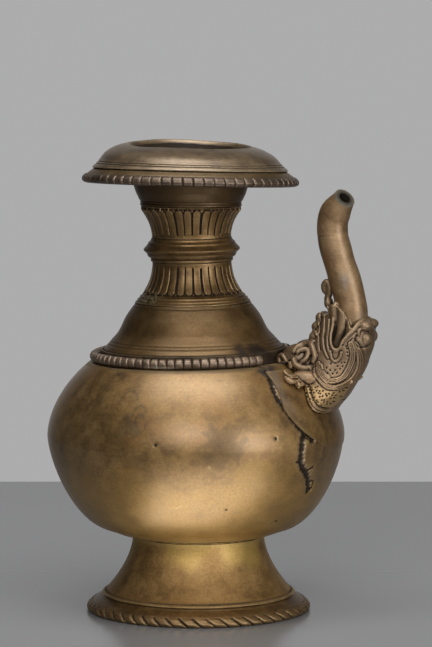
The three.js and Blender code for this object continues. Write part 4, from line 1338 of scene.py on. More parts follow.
@dataclass
class Mouth:
    """The funnel, the domed rim and its beaded border."""

    beads: int = 64
    bead_depth: float = 1.0
    brim_reach: float = 0.8
    mouth_radius: float = 26.1
    lip_drop: float = 6.6
    funnel: Points = (
        (25.3, 0.0), (25.5, 0.7), (25.1, 1.2), (25.4, 1.9), (25.2, 2.3),
        (25.9, 2.9), (26.0, 3.3), (27.4, 6.2), (28.6, 10.0),
    )
    border: Points = (
        (-2.0, 0.0), (-0.4, 0.7), (0.1, 1.9), (-0.3, 3.2),
        (-1.4, 4.3), (-2.2, 4.7), (-2.6, 4.6), (-3.2, 5.2),
    )
    dome: Points = ((0.03, 0.06), (0.2, 0.32), (0.37, 0.61), (0.67, 0.86), (1.0, 1.0))

    def build(self) -> None:
        """Builds the mouth's three pieces."""
        self._funnel()
        self._dome()
        self._border()

    def _funnel(self) -> None:
        """The funnel with its ledge and flange."""
        foot, flange, bore, edge = POT.funnel_foot, POT.flange, POT.neck_bore, POT.flange_radius
        top = flange + POT.rim_sheet
        outline = [(bore, foot)] + stepped(0.0, foot, self.funnel) + [(29.6, flange)]
        outline += [(edge, flange), (edge, top), (27.4, top)]
        outline += [(24.2, foot + 5.4), (bore, foot + 1.4)]
        bm = spun(evenly(softened(outline, 0.3), 0.6), NARROW_STEPS)

        def stain(co: Array, stains: Array) -> None:
            """Painted shade: darkens the whole funnel, standing in for the rim's shadow."""
            lay(stains, np.full(len(co), 0.45), Tint.FUNNEL_SHADE)

        # Painted shade: the darker finish, the stain above and the band that darkens towards the
        # flange stand in for the rim's shadow.
        piece = Piece("mouth_funnel_brass", ["mouth_funnel"], "dark_brass", Finish.DARK, 0.14, 8)
        piece.finished(bm, stain, 0.35 * smooth_step((places(bm)[:, 2] - flange + 4.5) / 5.0))

    def _dome(self) -> None:
        """The dome that turns over into the mouth."""
        foot, crest, flange = POT.dome_foot, POT.crest, POT.flange_radius
        edge, brim = foot + POT.dome_skirt, flange + self.brim_reach
        span = brim - POT.crest_radius
        dome = [(brim - span * inwards, edge + (crest - edge) * up) for inwards, up in self.dome]
        lip = stepped(POT.crest_radius, crest, ((-0.9, -0.5), (-2.1, -2.2)))
        lip += stepped(self.mouth_radius, crest, ((1.0, -4.9), (0.0, -self.lip_drop)))
        curve = np.vstack([flowing(dome, 100), flowing(lip, 20)])
        r, z = curve[:, 0], curve[:, 1]
        turned = 0.28 * (peak(z - edge - 1.9, 0.3) + peak(z - edge - 3.0, 0.3))
        turned *= r > POT.crest_radius + 6.0
        carved = list(zip(r - turned, z - turned * 0.6))
        skirt = [(flange, foot), (flange, edge - 0.5)]
        skirt += stepped(brim, edge, ((0.1, -0.2), (-0.1, 0.25)))
        inside = shifted(curve[::5], -POT.rim_sheet)[::-1]
        inside += [(flange - POT.rim_sheet, edge - 0.5), (flange - POT.rim_sheet, foot)]
        bm = spun(softened(skirt, 0.2) + carved + inside, WIDE_STEPS)

        def relief(r: Array, a: Array, z: Array) -> Rounds:
            """Old knocks in the dome."""
            raised = smooth_step((z - edge - 1.0) / 5.0)
            return r, a, z - raised * (0.3 * np.sin(2 * a + 0.6) + 0.15 * np.sin(5 * a))

        carve_round(bm, relief)
        co = places(bm)
        # Painted shade: a darker skirt under the dome's brim, and darkening inside the mouth.
        within = POT.crest_radius - 1.2 - np.hypot(co[:, 0], co[:, 1])
        added_grime_and_shade = 0.35 * smooth_step((edge + 1.0 - co[:, 2]) / 1.0) + 0.6 * smooth_step(within / 1.2)
        piece = Piece("rim_dome_brass", ["rim_dome"], "old_brass", Finish.RIM, 0.12, 10)
        piece.finished(bm, None, added_grime_and_shade)

    def _border(self) -> None:
        """The beaded border round the rim."""
        inner, low, edge = POT.flange_radius + SEAM, POT.flange - 0.8, POT.rim_radius
        outline = [(inner, low)] + stepped(edge, low, self.border)
        outline += [(inner, POT.dome_foot + POT.dome_skirt - 0.7)]
        bm = spun(evenly(softened(outline, 0.4), 0.5), self.beads * ROPE_STEPS)

        def relief(r: Array, a: Array, z: Array) -> Rounds:
            """Worn beads between narrow grooves."""
            turn = a / math.tau * self.beads
            across = np.abs(turn % 1.0 - 0.5) * 2.0
            jitter = 0.75 + 0.35 * np.sin(np.floor(turn) * 5.3)
            on_bead = smooth_step((r - edge + 2.4) / 1.2)
            return r - self.bead_depth * jitter * on_bead * across**7, a, z

        def stain(co: Array, stains: Array) -> None:
            """A yellower band over the beads."""
            above = smooth_step((co[:, 2] - low - 4.4) / 0.6)
            lay(stains, 0.6 * above, Tint.YELLOW_BAND)
            lay(stains, 0.3 * (above < 0.5), Tint.BEAD_SHADE)

        carve_round(bm, relief)
        piece = Piece("rim_beads_brass", ["rim_bead_border"], "old_brass", Finish.BEAD, 0.12, 8)
        piece.finished(bm, stain)


class Mark(Enum):
    """How a line is worked into the head's surface: its height and its half width."""

    BAND = (0.62, 1.3)
    FINE_BAND = (0.42, 0.75)
    GROOVE = (-0.6, 0.5)


@dataclass
class MakaraHead:
    """The head between the saddle and the tube, laid out from the body's widest circle.

    The tables of lines give how far out and how far up; each is laid on both flanks. A slice has
    a height, a back, a front and a half width.
    """

    voxel: float = 0.4
    slices: Points = (
        (9.5, -12.3, -4.3, 18), (15, -17.3, -0.3, 23), (20.5, -18.8, 4.7, 24.5),
        (26.5, -20, 8.9, 21.5), (32.5, -20, 13.1, 18), (39.5, -19.3, 16, 16.2),
        (46.5, -15.8, 18.5, 15.5), (53.5, -12.3, 18.6, 14), (61.5, -7.1, 14.2, 10.5),
    )
    lip: Points = (
        (-3.2, 65.6), (-1.6, 62.6), (0.3, 59.4), (0.4, 56.1), (-0.3, 51.9), (-0.1, 48.3), (1, 45.6),
        (2.8, 44.4), (4.7, 45.9), (5.8, 49), (8.1, 51.4), (10.1, 53.1), (11.7, 55.1), (13.3, 57.1),
    )
    over_jaws: Points = ((15.0, 70.0), (-3.2, 70.0))
    upper_lip: Points = (
        (5.8, 48.9), (8.4, 51.9), (11.3, 54.9), (13, 57.4), (15, 58.5), (16.6, 57.6),
    )
    lip_hook: Points = ((17.9, 52.6), (16.6, 54), (14.6, 55), (13.2, 53.6), (13.4, 51.3))
    bands: tuple[Points, ...] = (
        ((-7.8, 34.8), (-4.7, 30.2), (-0.3, 27), (2.9, 26.4), (6.4, 27.5), (9.7, 29.8),
         (12.4, 34.6), (13.3, 40.4), (12.4, 45.6), (11, 48.8)),
        ((-6.3, 37.9), (-5.8, 34.3), (-3.3, 31.4), (-0.7, 29.9), (2.4, 29.8), (5.7, 31.1),
         (8.1, 34.6), (9.9, 39.5), (10.4, 43.9), (9.6, 47.6)),
    )
    fine_bands: tuple[Points, ...] = (
        ((-4.6, 37.3), (-3.2, 33.7), (-0.5, 31.6)),
        ((-5.1, 61.1), (-4.5, 55.9), (-4.5, 49.4), (-3.2, 44), (-1.5, 41)),
        ((-2, 59), (-1.8, 54.3), (-2.1, 49.5), (-1.3, 44.7), (-0.3, 42.2)),
        ((-0.3, 43.8), (0.5, 40.6), (2.3, 39.1), (4.2, 40.5), (5.2, 43.4)),
    )
    strands: tuple[Points, ...] = (
        ((-24.8, 35.1), (-22.3, 32.9), (-16, 31.9), (-10.5, 32.9), (-8, 34.8)),
        ((-24.4, 32.6), (-21.7, 30.2), (-14.8, 29.9), (-9.6, 31.2)),
        ((-23.6, 30.2), (-21, 28.2), (-13.7, 28.3), (-9.4, 29.8)),
    )
    grooves: tuple[Points, ...] = (
        ((12.3, 51.6), (11.8, 48.6), (13.2, 45.9), (15.8, 45.3), (18.2, 47)),
        ((11.6, 49.4), (14.4, 46.2), (15.2, 40.2), (13.9, 34.7), (11.2, 30.1)),
        ((-7.2, 62), (-6.6, 55.9), (-6.5, 49.4), (-5.4, 44.5)),
    )
    dots: Points = (
        (0.1, 38), (2.2, 38.3), (5.2, 38.2), (6.6, 38.4), (-3.5, 34.9), (-1.3, 33.4), (1.1, 33.1),
        (-2, 36.1), (-0.1, 34.9), (2.3, 34.9), (4.6, 35.4), (7.9, 45.2), (8.1, 43.4), (6.2, 47.1),
        (8.2, 41.5), (7.6, 46.5), (3.4, 36.7), (5.7, 36.6), (3.2, 33.4),
    )
    skirt: Points = (
        (-20.4, 26.9), (-7.7, 28.1), (-1.9, 25.4), (2.8, 24.7), (7.6, 26), (3.2, 19), (-0.6, 16),
        (-4.4, 17.8), (-9.7, 21.4), (-15, 24.3),
    )
    ear: Points = (
        (-19.4, 43.2), (-17.5, 45.8), (-14.5, 47), (-11, 46.8), (-9.2, 44.3), (-8.2, 41.4),
        (-9.5, 38.3),
    )
    ear_fold: Points = (
        (-17.5, 43), (-15.5, 44.6), (-12.4, 44.6), (-11.8, 42.4), (-12.8, 40.2), (-15.3, 38.4),
    )
    ear_foot: Points = ((-19.1, 40.8), (-17.6, 37.4), (-13.8, 35.6), (-10, 35.9))
    spiral: Points = (
        (-22.2, 38.6), (-23.3, 40.1), (-25.5, 41.9), (-26.7, 40.2), (-25.8, 37.2), (-23, 35.1),
        (-20.4, 35.8), (-20.7, 38.9),
    )
    crest: Points = ((-7.6, 59.4), (-9.2, 55.2), (-9.8, 50.6))
    flame: Points = (
        (-4.2, 65), (-5.2, 68.3), (-3.9, 71.2), (-3.9, 74.8), (-5, 77), (-6.6, 75.4), (-6.5, 72.4),
        (-5.6, 71.2),
    )
    gum: Points = ((-14.3, 31.5), (9.7, 31.5), (10.2, 53.5), (6.3, 63), (0.2, 67.5), (-14.3, 67.5))
    gum_sheet: float = 1.6
    gum_folds: int = 13
    gum_fold_steps: int = 8
    gum_squareness: float = 3.6
    gum_spread: float = 1.22

    def _slice(self, height: Array) -> tuple[Array, Array, Array]:
        """Middle, reach and half width of the head at heights."""
        table = flowing(self.slices, 120)
        back, front, half = (np.interp(height, table[:, 0], table[:, k]) for k in (1, 2, 3))
        return (back + front) / 2, (front - back) / 2, half

    def _width(self, x: Array, z: Array) -> Array:
        """How far aside the flank lies in the side view, with the lump behind the ear."""
        middle, reach, half = self._slice(z)
        share = np.clip(np.abs(x - middle) / reach, 0.0, 0.97)
        flank = half * np.sqrt(1 - share**2)
        lump = 1.0 - ((x + 17.5) / 9.8) ** 2 - ((z - 38.0) / 9.5) ** 2
        behind = 10.5 + 5.5 * np.sqrt(np.clip(lump, 0.0, 1.0))
        return np.where(lump > 0, np.maximum(flank, behind), flank)

    def _ball(
        self, at: Sequence[float], radii: Sequence[float], side: int, proud: Optional[float] = None
    ) -> Mesh:
        """An ellipsoid on one flank.

        Args:
            at: its place, out, aside and up; with a value for proud, aside isn't read.
            radii: its three radii.
            side: which flank, 1 or -1.
            proud: how far its middle stands off the flank.

        Returns:
            The ellipsoid.
        """
        x, y, z = at
        if proud is not None:
            y = float(self._width(np.array([x]), np.array([z]))[0]) + proud
        return ball((x, side * y, z), radii)

    def _skull(self) -> Mesh:
        """The head's bare block."""
        heights = np.linspace(self.slices[0][0], self.slices[-1][0], 44)
        stations = []
        for z, middle, reach, half in zip(heights, *self._slice(heights)):
            wide = Matrix.Diagonal((reach, half, 1, 1))
            stations.append((Matrix.Translation((middle, 0, z)) @ wide, 1.0))
        return lofted(stations, 72)

    def _bar(self, line: Points, radius: float, side: int, proud: float, taper: float) -> Mesh:
        """A bar on one flank along a line of the side view.

        Args:
            line: its points, out and up.
            radius: its greatest radius.
            side: which flank, 1 or -1.
            proud: how far its middle stands off the flank.
            taper: the share of its radius that is left at its ends.

        Returns:
            The bar.
        """
        flat = flowing(line, 44)
        y = side * (self._width(flat[:, 0], flat[:, 1]) + proud)
        way = np.stack([flat[:, 0], y, flat[:, 1]], -1)
        way = flowing(way[::3].tolist() + [way[-1].tolist()], 44)
        return swept(way, radius * swelling(44, taper), 12)

    def _lock(self, line: Points, radius: float, side: int) -> Mesh:
        """A lock of hair that lies on the body beside the head.

        Args:
            line: its points in the side view, out and up.
            radius: its radius.
            side: which flank, 1 or -1.

        Returns:
            The lock.
        """
        flat = flowing(line, 36)
        radii = body_wall(flat[:, 1] + POT.body_widest, above=0.0)
        radii = np.maximum(radii + 2.0, POT.collar_radius + 1.0)
        y = self._width(flat[:, 0], flat[:, 1])
        for _ in range(60):
            clear = np.hypot(POT.body_radius + flat[:, 0], y) >= radii
            flat[:, 0] += np.where(clear, 0.0, 0.08)
            y = y + np.where(clear, 0.0, 0.3)
        way = flowing(np.stack([flat[:, 0], side * y, flat[:, 1]], -1)[::3].tolist(), 40)
        return swept(way, radius * swelling(40, 0.6), 12)

    def _gum(self, line: Array, radius: float) -> Mesh:
        """The folded gum round the foot of the tube.

        Args:
            line: the spout's line, from the belly.
            radius: the tube's hole in the head.

        Returns:
            The gum.
        """
        kept = line[(line[:, 2] > 38.0) & (line[:, 2] < 68.0)][::3]
        sides = self.gum_folds * self.gum_fold_steps
        bm = swept(kept, np.full(len(kept), radius + self.gum_sheet), sides)
        co = places(bm)
        number = np.arange(len(co)) % sides
        centre = np.repeat(kept, sides, axis=0)
        wave = 0.5 - 0.5 * np.cos(number * math.tau / self.gum_fold_steps)
        grid = 0.12 * np.cos(co[:, 2] * math.tau / 1.1)
        off = (co - centre) * (1.0 - (0.11 * wave**2 + 0.012 * grid))[:, None]
        turn = number * math.tau / sides
        power = self.gum_squareness
        squared = (np.abs(np.cos(turn)) ** power + np.abs(np.sin(turn)) ** power) ** (-1 / power)
        off *= squared[:, None]
        off[:, 1] *= self.gum_spread
        put(bm, centre + off)
        return cut(bm, [prism(self.gum, 30.0)], Kept.INSIDE)

    def _jaws(self, count: int) -> Outline:
        """The side view of the open mouth, with a count of points along its lip."""
        return [tuple(p) for p in flowing(self.lip, count)] + list(self.over_jaws)

    def _shapes(self, line: Array, radius: float) -> list[Mesh]:
        """The closed shapes that melt into the head."""
        skull = cut(self._skull(), [prism(self._jaws(60), 30.0)])
        flame = np.array([(x, 0.0, z) for x, z in flowing(self.flame, 40)])
        shapes = [
            skull,
            self._gum(line, radius),
            swept(flame, 1.75 * swelling(40, 0.45, 0.15), 14),
            ball((-4.4, 0.0, 66.5), (2.3, 3.2, 3.0)),
            ball((-5.3, 0.0, 73.6), (1.3, 1.3, 2.6)),
        ]
        for side in (-1, 1):
            shapes += [
                self._ball((-17.5, 10.5, 38.0), (9.6, 5.6, 9.3), side),
                self._bar(self.lip, 0.85, side, -0.05, 0.7),
                self._bar(self.upper_lip, 1.2, side, -0.25, 0.6),
                self._ball((15.6, 5.6, 55.8), (3.9, 5.2, 2.7), side),
                self._bar(self.lip_hook, 0.8, side, 0.2, 0.5),
                self._ball((15.6, 0.0, 49.6), (3.1, 3.0, 3.5), side, -2.0),
                self._bar(self.ear, 1.6, side, 0.9, 0.5),
                self._bar(self.ear_fold, 1.25, side, 0.8, 0.5),
                self._bar(self.ear_foot, 1.6, side, 0.5, 0.6),
                self._bar(self.spiral, 1.3, side, 1.0, 0.6),
                self._ball((1.3, 8.6, 66.1), (1.9, 1.9, 1.9), side),
                self._ball((7.8, 9.2, 57.3), (2.3, 2.0, 2.4), side),
                self._ball((8.5, 0.0, 28.5), (1.3, 1.0, 1.2), side, 0.2),
                self._ball((-13.5, 16.6, 30.5), (8.5, 4.6, 4.0), side),
            ]
            shapes += [self._lock(strand, 1.1, side) for strand in self.strands]
            for x, z in self.crest:
                turns = np.linspace(0.4, 4.9, 9)
                hook = [(x + 2.1 * math.cos(t), z + 2.1 * math.sin(t)) for t in turns]
                shapes.append(self._ball((x, 0.0, z), (2.8, 2.4, 2.5), side, -1.2))
                shapes.append(self._bar(hook, 0.8, side, 0.7, 0.6))
        return shapes

    def _spots(self) -> Outline:
        """The places of the punched dots: those of the table, and uneven rows on the skirt."""
        spots = list(self.dots)
        for row in range(11):
            for column in range(22):
                x = -22.0 + 1.85 * column + 0.9 * (row % 2)
                x += 0.45 * math.sin(row * 5.1 + column * 3.7)
                z = 15.0 + 1.5 * row + 0.35 * math.sin(row * 2.3 + column * 7.1)
                if self._inside(np.array([[x, z]]), self.skirt)[0]:
                    spots.append((x, z))
        return spots

    def _worked(self, bm: Mesh) -> Array:
        """Works lines and punched dots into both flanks.

        Args:
            bm: the head's skin, which this changes.

        Returns:
            Grime in the punched dots and painted shade inside the open jaws, one value per vertex.
        """
        co = places(bm)
        normals = np.array([v.normal[:] for v in bm.verts])
        flat = co[:, (0, 2)]
        facing = smooth_step((np.abs(normals[:, 1]) - 0.12) / 0.25)
        on_skin = smooth_step((np.abs(co[:, 1]) - self._width(co[:, 0], co[:, 2]) + 2.6) / 1.2)
        push = np.zeros(len(co))
        grime_and_shade = np.zeros(len(co))
        marks = [(Mark.BAND, self.bands), (Mark.FINE_BAND, self.fine_bands)]
        for mark, line in [(m, p) for m, lines in marks for p in lines]:
            height, half = mark.value
            distance, _ = path_distance(flat, flowing(line, 36))
            raised = height * np.clip(1.0 - (distance / half) ** 4, 0.0, 1.0)
            if mark is Mark.BAND:
                raised -= 0.4 * peak(distance - 0.35, 0.28) * (raised > 0)
            rim = -0.3 * height * peak(distance - half - 0.25, 0.3)
            push = np.where(raised > 0, np.maximum(push, raised), push + rim)
        height, half = Mark.GROOVE.value
        for line in self.grooves:
            push += height * peak(path_distance(flat, flowing(line, 36))[0], half)
        wall = body_wall(co[:, 2] + POT.body_widest)
        over = np.hypot(POT.body_radius + co[:, 0], co[:, 1]) - wall - 1.5
        hem = smooth_step((2.3 - over) / 0.5) * (co[:, 2] < 32.0)
        low = co[:, 2] < 30.0
        push = push * (1 - hem) + 0.8 * hem - 0.5 * peak(over - 2.9, 0.35) * low
        push -= 0.45 * peak(over - 0.9, 0.3) * low
        for x, z in self._spots():
            distance = np.hypot(flat[:, 0] - x, flat[:, 1] - z)
            hole = np.exp(-((distance / 0.42) ** 4))
            push -= 0.55 * hole
            grime_and_shade = np.maximum(grime_and_shade, hole)
        # Painted shade inside the open jaws.
        grime_and_shade = np.maximum(grime_and_shade, 0.5 * self._inside(flat, self._jaws(40)) * (on_skin < 0.5))
        put(bm, co + normals * (push * facing * on_skin)[:, None])
        return grime_and_shade

    @staticmethod
    def _inside(flat: Array, outline: Points) -> Array:
        """Whether places of the side view lie inside an outline."""
        inside = np.zeros(len(flat), bool)
        for (x1, z1), (x2, z2) in zip(outline, [*outline[1:], outline[0]]):
            if z1 != z2:
                crosses = (z1 > flat[:, 1]) != (z2 > flat[:, 1])
                inside ^= crosses & (flat[:, 0] < (x2 - x1) * (flat[:, 1] - z1) / (z2 - z1) + x1)
        return inside

    def build(self, line: Array, radius: float, seats: Sequence[Mesh]) -> None:
        """Builds the head.

        Args:
            line: the line that the water follows.
            radius: the radius of the tube's seat.
            seats: what the head is cut to at its foot and its throat; they are freed.
        """
        bm = melted(self._shapes(line - BELLY, radius), self.voxel)
        axes = {"use_axis_x": True, "use_axis_y": True, "use_axis_z": True}
        bmesh.ops.smooth_vert(bm, verts=bm.verts, factor=0.5, **axes)
        bmesh.ops.translate(bm, vec=BELLY, verts=bm.verts)
        bm = cut(bm, seats)
        bmesh.ops.translate(bm, vec=-BELLY, verts=bm.verts)
        bm.normal_update()
        laid = self._worked(bm)
        bmesh.ops.translate(bm, vec=BELLY, verts=bm.verts)
        name, replaced = "makara_head_brass", ["makara_head"]
        piece = Piece(name, replaced, "copper_brass", Finish.COPPER, 0.14, 9, sharp=70.0)
        piece.finished(bm, self._tinted, laid)

    def _tinted(self, co: Array, stains: Array) -> None:
        """A brown wash over the upper head and yellower metal on the skirt."""
        flat = (co - BELLY)[:, (0, 2)]
        washed = smooth_step((flat[:, 1] - 31.0 + 6.0 * cloudiness(co, 0.25)) / 5.0)
        lay(stains, 0.5 * washed, Tint.BROWN_WASH)
        lay(stains, 0.55 * self._inside(flat, self.skirt), Tint.YELLOW_SKIRT)


@dataclass
class Spout:
    """The saddle, the makara's head, the tube and its tip."""

    bore: float = 5.8
    wall_low: float = 8.2
    wall_high: float = 7.7
    channel_foot: float = 15.6
    tube_foot: float = 41.5
    seat_top: float = 75.0
    sides: int = 56
    tip_seam: float = 100.5
    tip_radius: float = 5.4
    tip_bore: float = 2.9
    tip_facing: Sequence[float] = (0.6, -0.42, 0.66)
    tip_slant: float = 1.6
    saddle_sheet: float = 0.9
    saddle_setback: float = 2.0
    saddle_top_half: float = 32.0
    saddle_half: float = 40.0
    saddle_shoulder: float = 17.0
    saddle_round: float = 23.0
    line: Points = (
        (-19.3, 0, 15.5), (-11.3, 0, 24), (-4.3, 0, 32.5), (1.7, 0, 41.5), (5.5, 0, 50.5),
        (7.1, 0, 59.5), (6.4, 0, 68.5), (4, 0, 78.3), (0.5, 0, 90), (-1.8, 0, 100.5),
        (-1.1, 0, 109.5), (6.1, -2.8, 120.1),
    )
    patches: tuple = (
        (0.78, (-4.0, -6.0, 0.0), 3.0, Tint.RED_PATCH),
        (0.95, (-6.0, -3.0, 0.0), 3.5, Tint.BROWN_PATCH),
        (0.62, (2.0, -8.0, 0.0), 2.5, Tint.PINK_PATCH),
        (0.35, (-3.0, -8.0, 0.0), 3.2, Tint.COPPER_PATCH),
        (0.12, (-6.0, -5.0, 0.0), 4.5, Tint.DARK_PATCH),
        (0.25, (6.0, -5.0, 0.0), 3.0, Tint.PALE_PATCH),
    )

    def _centre(self, count: int) -> Array:
        """The line that the water follows, evenly spaced."""
        return flowing(self.line, count) + BELLY

    def _stretch(self, low: float, high: float, count: int) -> Array:
        """The part of the line between two heights over the body's widest circle."""
        line = self._centre(1600)
        over = line[:, 2]
        kept = line[(over >= low + POT.body_widest) & (over <= high + POT.body_widest)]
        return kept[np.linspace(0, len(kept) - 1, count).round().astype(int)]

    def _rod(self, low: float, high: float, radius: float, sides: int) -> Mesh:
        """A round rod along the line between two heights, which cuts a hole."""
        way = self._stretch(low, high, 40)
        return swept(way, np.full(len(way), radius), sides)

    @staticmethod
    def _around(outline: Outline, distance: float) -> Mesh:
        """A solid that fills the pot out to a distance outside an outline."""
        moved = shifted(outline, distance)
        return spun([(0.0, moved[0][1])] + moved + [(0.0, moved[-1][1])], WIDE_STEPS, closed=False)

    def build(self) -> None:
        """Builds the spout's four pieces."""
        self._saddle()
        hole = self.wall_low + SEAM
        seats = [
            self._rod(self.tube_foot, self.seat_top, hole, self.sides),
            self._rod(self.channel_foot, self.tube_foot + 1.0, self.bore, 24),
            self._around(body_side(40), 2 * SEAM + self.saddle_sheet),
            self._around(Bell().outline(40), SEAM),
        ]
        MakaraHead().build(self._centre(400), hole, seats)
        self._tube()
        self._tip()

    def _saddle(self) -> None:
        """The shield-shaped plate under the head, bent to the body."""
        top = POT.shoulder - self.saddle_setback
        shoulder = top - self.saddle_shoulder
        low = shoulder - self.saddle_round

        def rounded(z: Array, least: float) -> Array:
            """Half the width of the plate's round lower part at heights."""
            share = 1.0 - ((shoulder - z) / self.saddle_round) ** 2
            return self.saddle_half * np.sqrt(np.clip(share, least, 1.0))

        bm = bmesh.new()
        bmesh.ops.create_grid(bm, x_segments=90, y_segments=90, size=1.0)
        flat = places(bm)
        z = low + (top - low) * ((flat[:, 1] + 1.0) / 2.0) ** 1.6
        narrower = (self.saddle_top_half - self.saddle_half) * (z - shoulder)
        tapering = self.saddle_half + narrower / self.saddle_shoulder
        y = flat[:, 0] * np.where(z > shoulder, tapering, rounded(z, 0.0))
        x = np.sqrt(np.maximum(body_wall(z, SEAM) ** 2 - y**2, 1.0))
        put(bm, np.stack([x, y, z], -1))
        bmesh.ops.remove_doubles(bm, verts=bm.verts, dist=0.02)
        bmesh.ops.recalc_face_normals(bm, faces=bm.faces)
        bmesh.ops.solidify(bm, geom=list(bm.faces), thickness=self.saddle_sheet)
        bmesh.ops.recalc_face_normals(bm, faces=bm.faces)
        co = places(bm)
        z = co[:, 2]
        bent = np.hypot(co[:, 0], co[:, 1])
        to_edge = smooth_step((np.abs(co[:, 1]) / rounded(z, 0.01) - 0.72) / 0.25) * (z < shoulder)
        to_edge = np.maximum(to_edge, smooth_step((low + 5.0 - z) / 4.0))
        thick = np.clip(bent - body_wall(z, SEAM), 0.0, None)
        thinner = 1.0 - 0.85 * to_edge * thick / bent
        put(bm, co * np.stack([thinner, thinner, np.ones(len(co))], -1))
        bm = cut(bm, [self._rod(self.channel_foot, self.tube_foot, self.bore, 24)])
        piece = Piece("saddle_brass", ["spout_saddle"], "old_brass", Finish.BODY, 0.5)
        piece.finished(bm, self._greyed)

    @staticmethod
    def _greyed(co: Array, stains: Array) -> None:
        """Greyer metal along the saddle's upper edges."""
        edge = flowing([on_body(*p) for p in Body.plate_edge], 30)
        fading = smooth_step((co[:, 2] - 94.0) / 22.0)
        amount = fading * peak(path_distance(co, edge)[0] - 3.0, 3.2)
        lay(stains, 0.55 * amount, Tint.GREY_SOLDER)

    def _tube(self) -> None:
        """The tube out of the jaws."""
        line = self._stretch(self.tube_foot + SEAM, self.tip_seam, 64)
        share = np.linspace(0.0, 1.0, len(line))
        radii = self.wall_low + (self.wall_high - self.wall_low) * share
        uneven = radii + 0.12 * np.sin(share * 23.0)
        bm = swept(line, uneven, self.sides, np.full(len(line), self.bore))

        def stain(co: Array, stains: Array) -> None:
            """Redder and greyer patches that run along the tube."""
            for at, off, reach, tint in self.patches:
                near = line[int(at * (len(line) - 1))] + np.array(off)
                daub(near + (co - near) * (1.0, 1.0, 0.4), stains, near, reach, tint, 0.6)

        piece = Piece("spout_tube_brass", ["spout_tube"], "copper_brass", Finish.COPPER, 0.4)
        piece.finished(bm, stain)

    def _tip(self) -> None:
        """The bent tip, cut off at a slant."""
        line = self._stretch(self.tip_seam + 0.05, 121.0, 56)
        facing = np.array(self.tip_facing) / np.linalg.norm(self.tip_facing)
        end = line[-1]
        line = np.vstack([line, end + facing * 2.0, end + facing * 4.0])
        share = np.linspace(0.0, 1.0, len(line))
        taper = smooth_step((share - 0.45) / 0.5)
        radii = self.wall_high - (self.wall_high - self.tip_radius) * taper
        bores = self.bore - (self.bore - self.tip_bore) * smooth_step((share - 0.4) / 0.4)
        bm = swept(line, radii, self.sides, bores)
        geometry = list(bm.verts) + list(bm.edges) + list(bm.faces)
        sliced = {"plane_co": end - facing * self.tip_slant, "plane_no": facing}
        bmesh.ops.bisect_plane(bm, geom=geometry, clear_outer=True, **sliced)
        bmesh.ops.bridge_loops(bm, edges=[e for e in bm.edges if e.is_boundary])
        bmesh.ops.recalc_face_normals(bm, faces=bm.faces)

        def stain(co: Array, stains: Array) -> None:
            """The bare grey face of the cut, and painted shadow inside the bore."""
            off = (co - sliced["plane_co"]) @ facing
            within = 4.1 - path_distance(co, line)[0]
            lay(stains, 0.85 * smooth_step((off + 0.6) / 0.5), Tint.BARE_CUT)
            # Painted shadow inside the bore.
            lay(stains, 0.95 * smooth_step(within / 0.5), Tint.PAINTED_BORE_SHADOW)

        piece = Piece("spout_tip_brass", ["spout_tip"], "copper_brass", Finish.COPPER, 0.5)
        piece.finished(bm, stain)


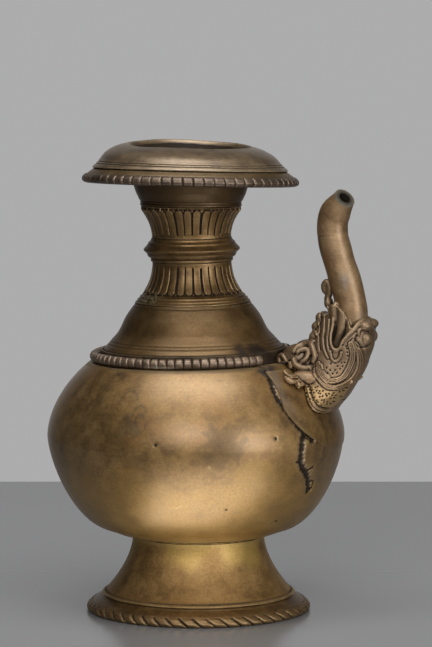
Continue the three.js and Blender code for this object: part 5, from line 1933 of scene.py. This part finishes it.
@dataclass
class Studio:
    """The floor, the lamps, the surroundings and the camera."""

    lens_pixels: float = 4100.0
    frame_height: float = 647.0
    sensor: float = 36.0
    camera_at: Sequence[float] = (0.5285, -1.9649, 0.3799)
    looks_at: Sequence[float] = (0.0014, 0.0021, 0.1443)
    floor_behind: float = 0.417
    floor_color: Color = (0.175, 0.178, 0.181)
    floor_roughness: float = 0.2
    lamps_aim: float = 0.12
    dark: Color = (0.03, 0.03, 0.031)
    wall: Color = (0.415, 0.415, 0.42)
    lamps: tuple = (
        ("overhead_box", (0.04, -0.24, 1.3), (1.05, 0.55), 12.5),
        ("front_box", (0.22, -1.6, 1.0), (0.9, 0.6), 15.5),
        ("side_box", (1.4, -0.8, 0.45), (0.4, 0.7), 12.5),
        ("table_glow", (0.05, -0.11, 0.004), (0.18, 0.09), 0.15),
    )

    def build(self) -> None:
        """Builds the studio."""
        view = Vector(self.looks_at) - Vector(self.camera_at)
        self._floor(math.atan2(-view.y, -view.x) + math.pi / 2)
        self._world(Vector((view.x, view.y, 0.0)).normalized())
        self._lamps()
        self._camera(view)

    def _floor(self, turn: float) -> None:
        """A pale table top that is turned to the camera and ends behind the pot."""
        bm = bmesh.new()
        bmesh.ops.create_grid(bm, x_segments=1, y_segments=1, size=1.0)
        bmesh.ops.scale(bm, vec=(2.5, 2.0, 1.0), verts=bm.verts)
        bmesh.ops.translate(bm, vec=(0.0, self.floor_behind - 2.0, 0.0), verts=bm.verts)
        rotation = Matrix.Rotation(turn, 3, "Z")
        bmesh.ops.rotate(bm, cent=(0, 0, 0), matrix=rotation, verts=bm.verts)
        material = bpy.data.materials.new("pale_table")
        material.use_nodes = True
        shader = material.node_tree.nodes["Principled BSDF"]
        shader.inputs["Base Color"].default_value = (*self.floor_color, 1.0)
        shader.inputs["Roughness"].default_value = self.floor_roughness
        mesh = meshed("table", bm)
        mesh.materials.append(material)
        table = shown("table", mesh)

    def _world(self, away: Vector) -> None:
        """Dark surroundings with a pale wall behind the table, which the camera and mirrors see."""
        world = bpy.data.worlds.new("surroundings")
        world.use_nodes = True
        tree = world.node_tree
        node = partial(wired, tree)
        rays = node("LightPath", {}).outputs
        around = node("TexCoord", {}).outputs["Generated"]
        facing = node("VectorMath", {0: around, 1: away}, operation="DOT_PRODUCT")
        behind = node("MapRange", {0: facing.outputs["Value"], 1: 0.8, 2: 0.95}).outputs[0]
        mirrored = node("Math", {0: behind, 1: rays["Is Glossy Ray"]}, operation="MULTIPLY")
        either = {0: mirrored.outputs[0], 1: rays["Is Camera Ray"]}
        seen = node("Math", either, operation="MAXIMUM").outputs[0]
        colors = {0: seen, 6: (*self.dark, 1.0), 7: (*self.wall, 1.0)}
        mix = node("Mix", colors, data_type="RGBA")
        tree.links.new(mix.outputs[2], tree.nodes["Background"].inputs["Color"])
        bpy.context.scene.world = world

    def _lamps(self) -> None:
        """Three soft boxes that face the pot, and one that shines up from the table."""
        for name, at, size, power in self.lamps:
            light = bpy.data.lights.new(name, "AREA")
            light.shape = "RECTANGLE"
            light.size, light.size_y = size
            light.energy = power
            lamp = shown(name, light)
            lamp.location = at
            aim = Vector((0.0, 0.0, self.lamps_aim)) - Vector(at)
            if at[2] < 0.01:
                aim = Vector((0.0, 0.0, 1.0))
            lamp.rotation_euler = aim.to_track_quat("-Z", "Y").to_euler()
            lamp.visible_camera = False

    def _camera(self, view: Vector) -> None:
        """The camera at the photograph's place."""
        data = bpy.data.cameras.new("camera")
        data.sensor_width = self.sensor
        data.lens = self.lens_pixels * self.sensor / self.frame_height
        data.clip_end = 20.0
        camera = shown("camera", data)
        camera.location = self.camera_at
        camera.rotation_euler = view.to_track_quat("-Z", "Y").to_euler()
        bpy.context.scene.camera = camera


def main() -> None:
    """Builds the pot and its studio."""
    logging.basicConfig(level=logging.INFO, format="%(message)s")
    bpy.context.scene.view_settings.view_transform = "Standard"
    for part in (Foot(), Body(), BeadCollar(), Bell(), Neck(), Mouth(), Spout(), Studio()):
        part.build()
        LOG.info("built %s", type(part).__name__)


if __name__ == "__main__":
    main()
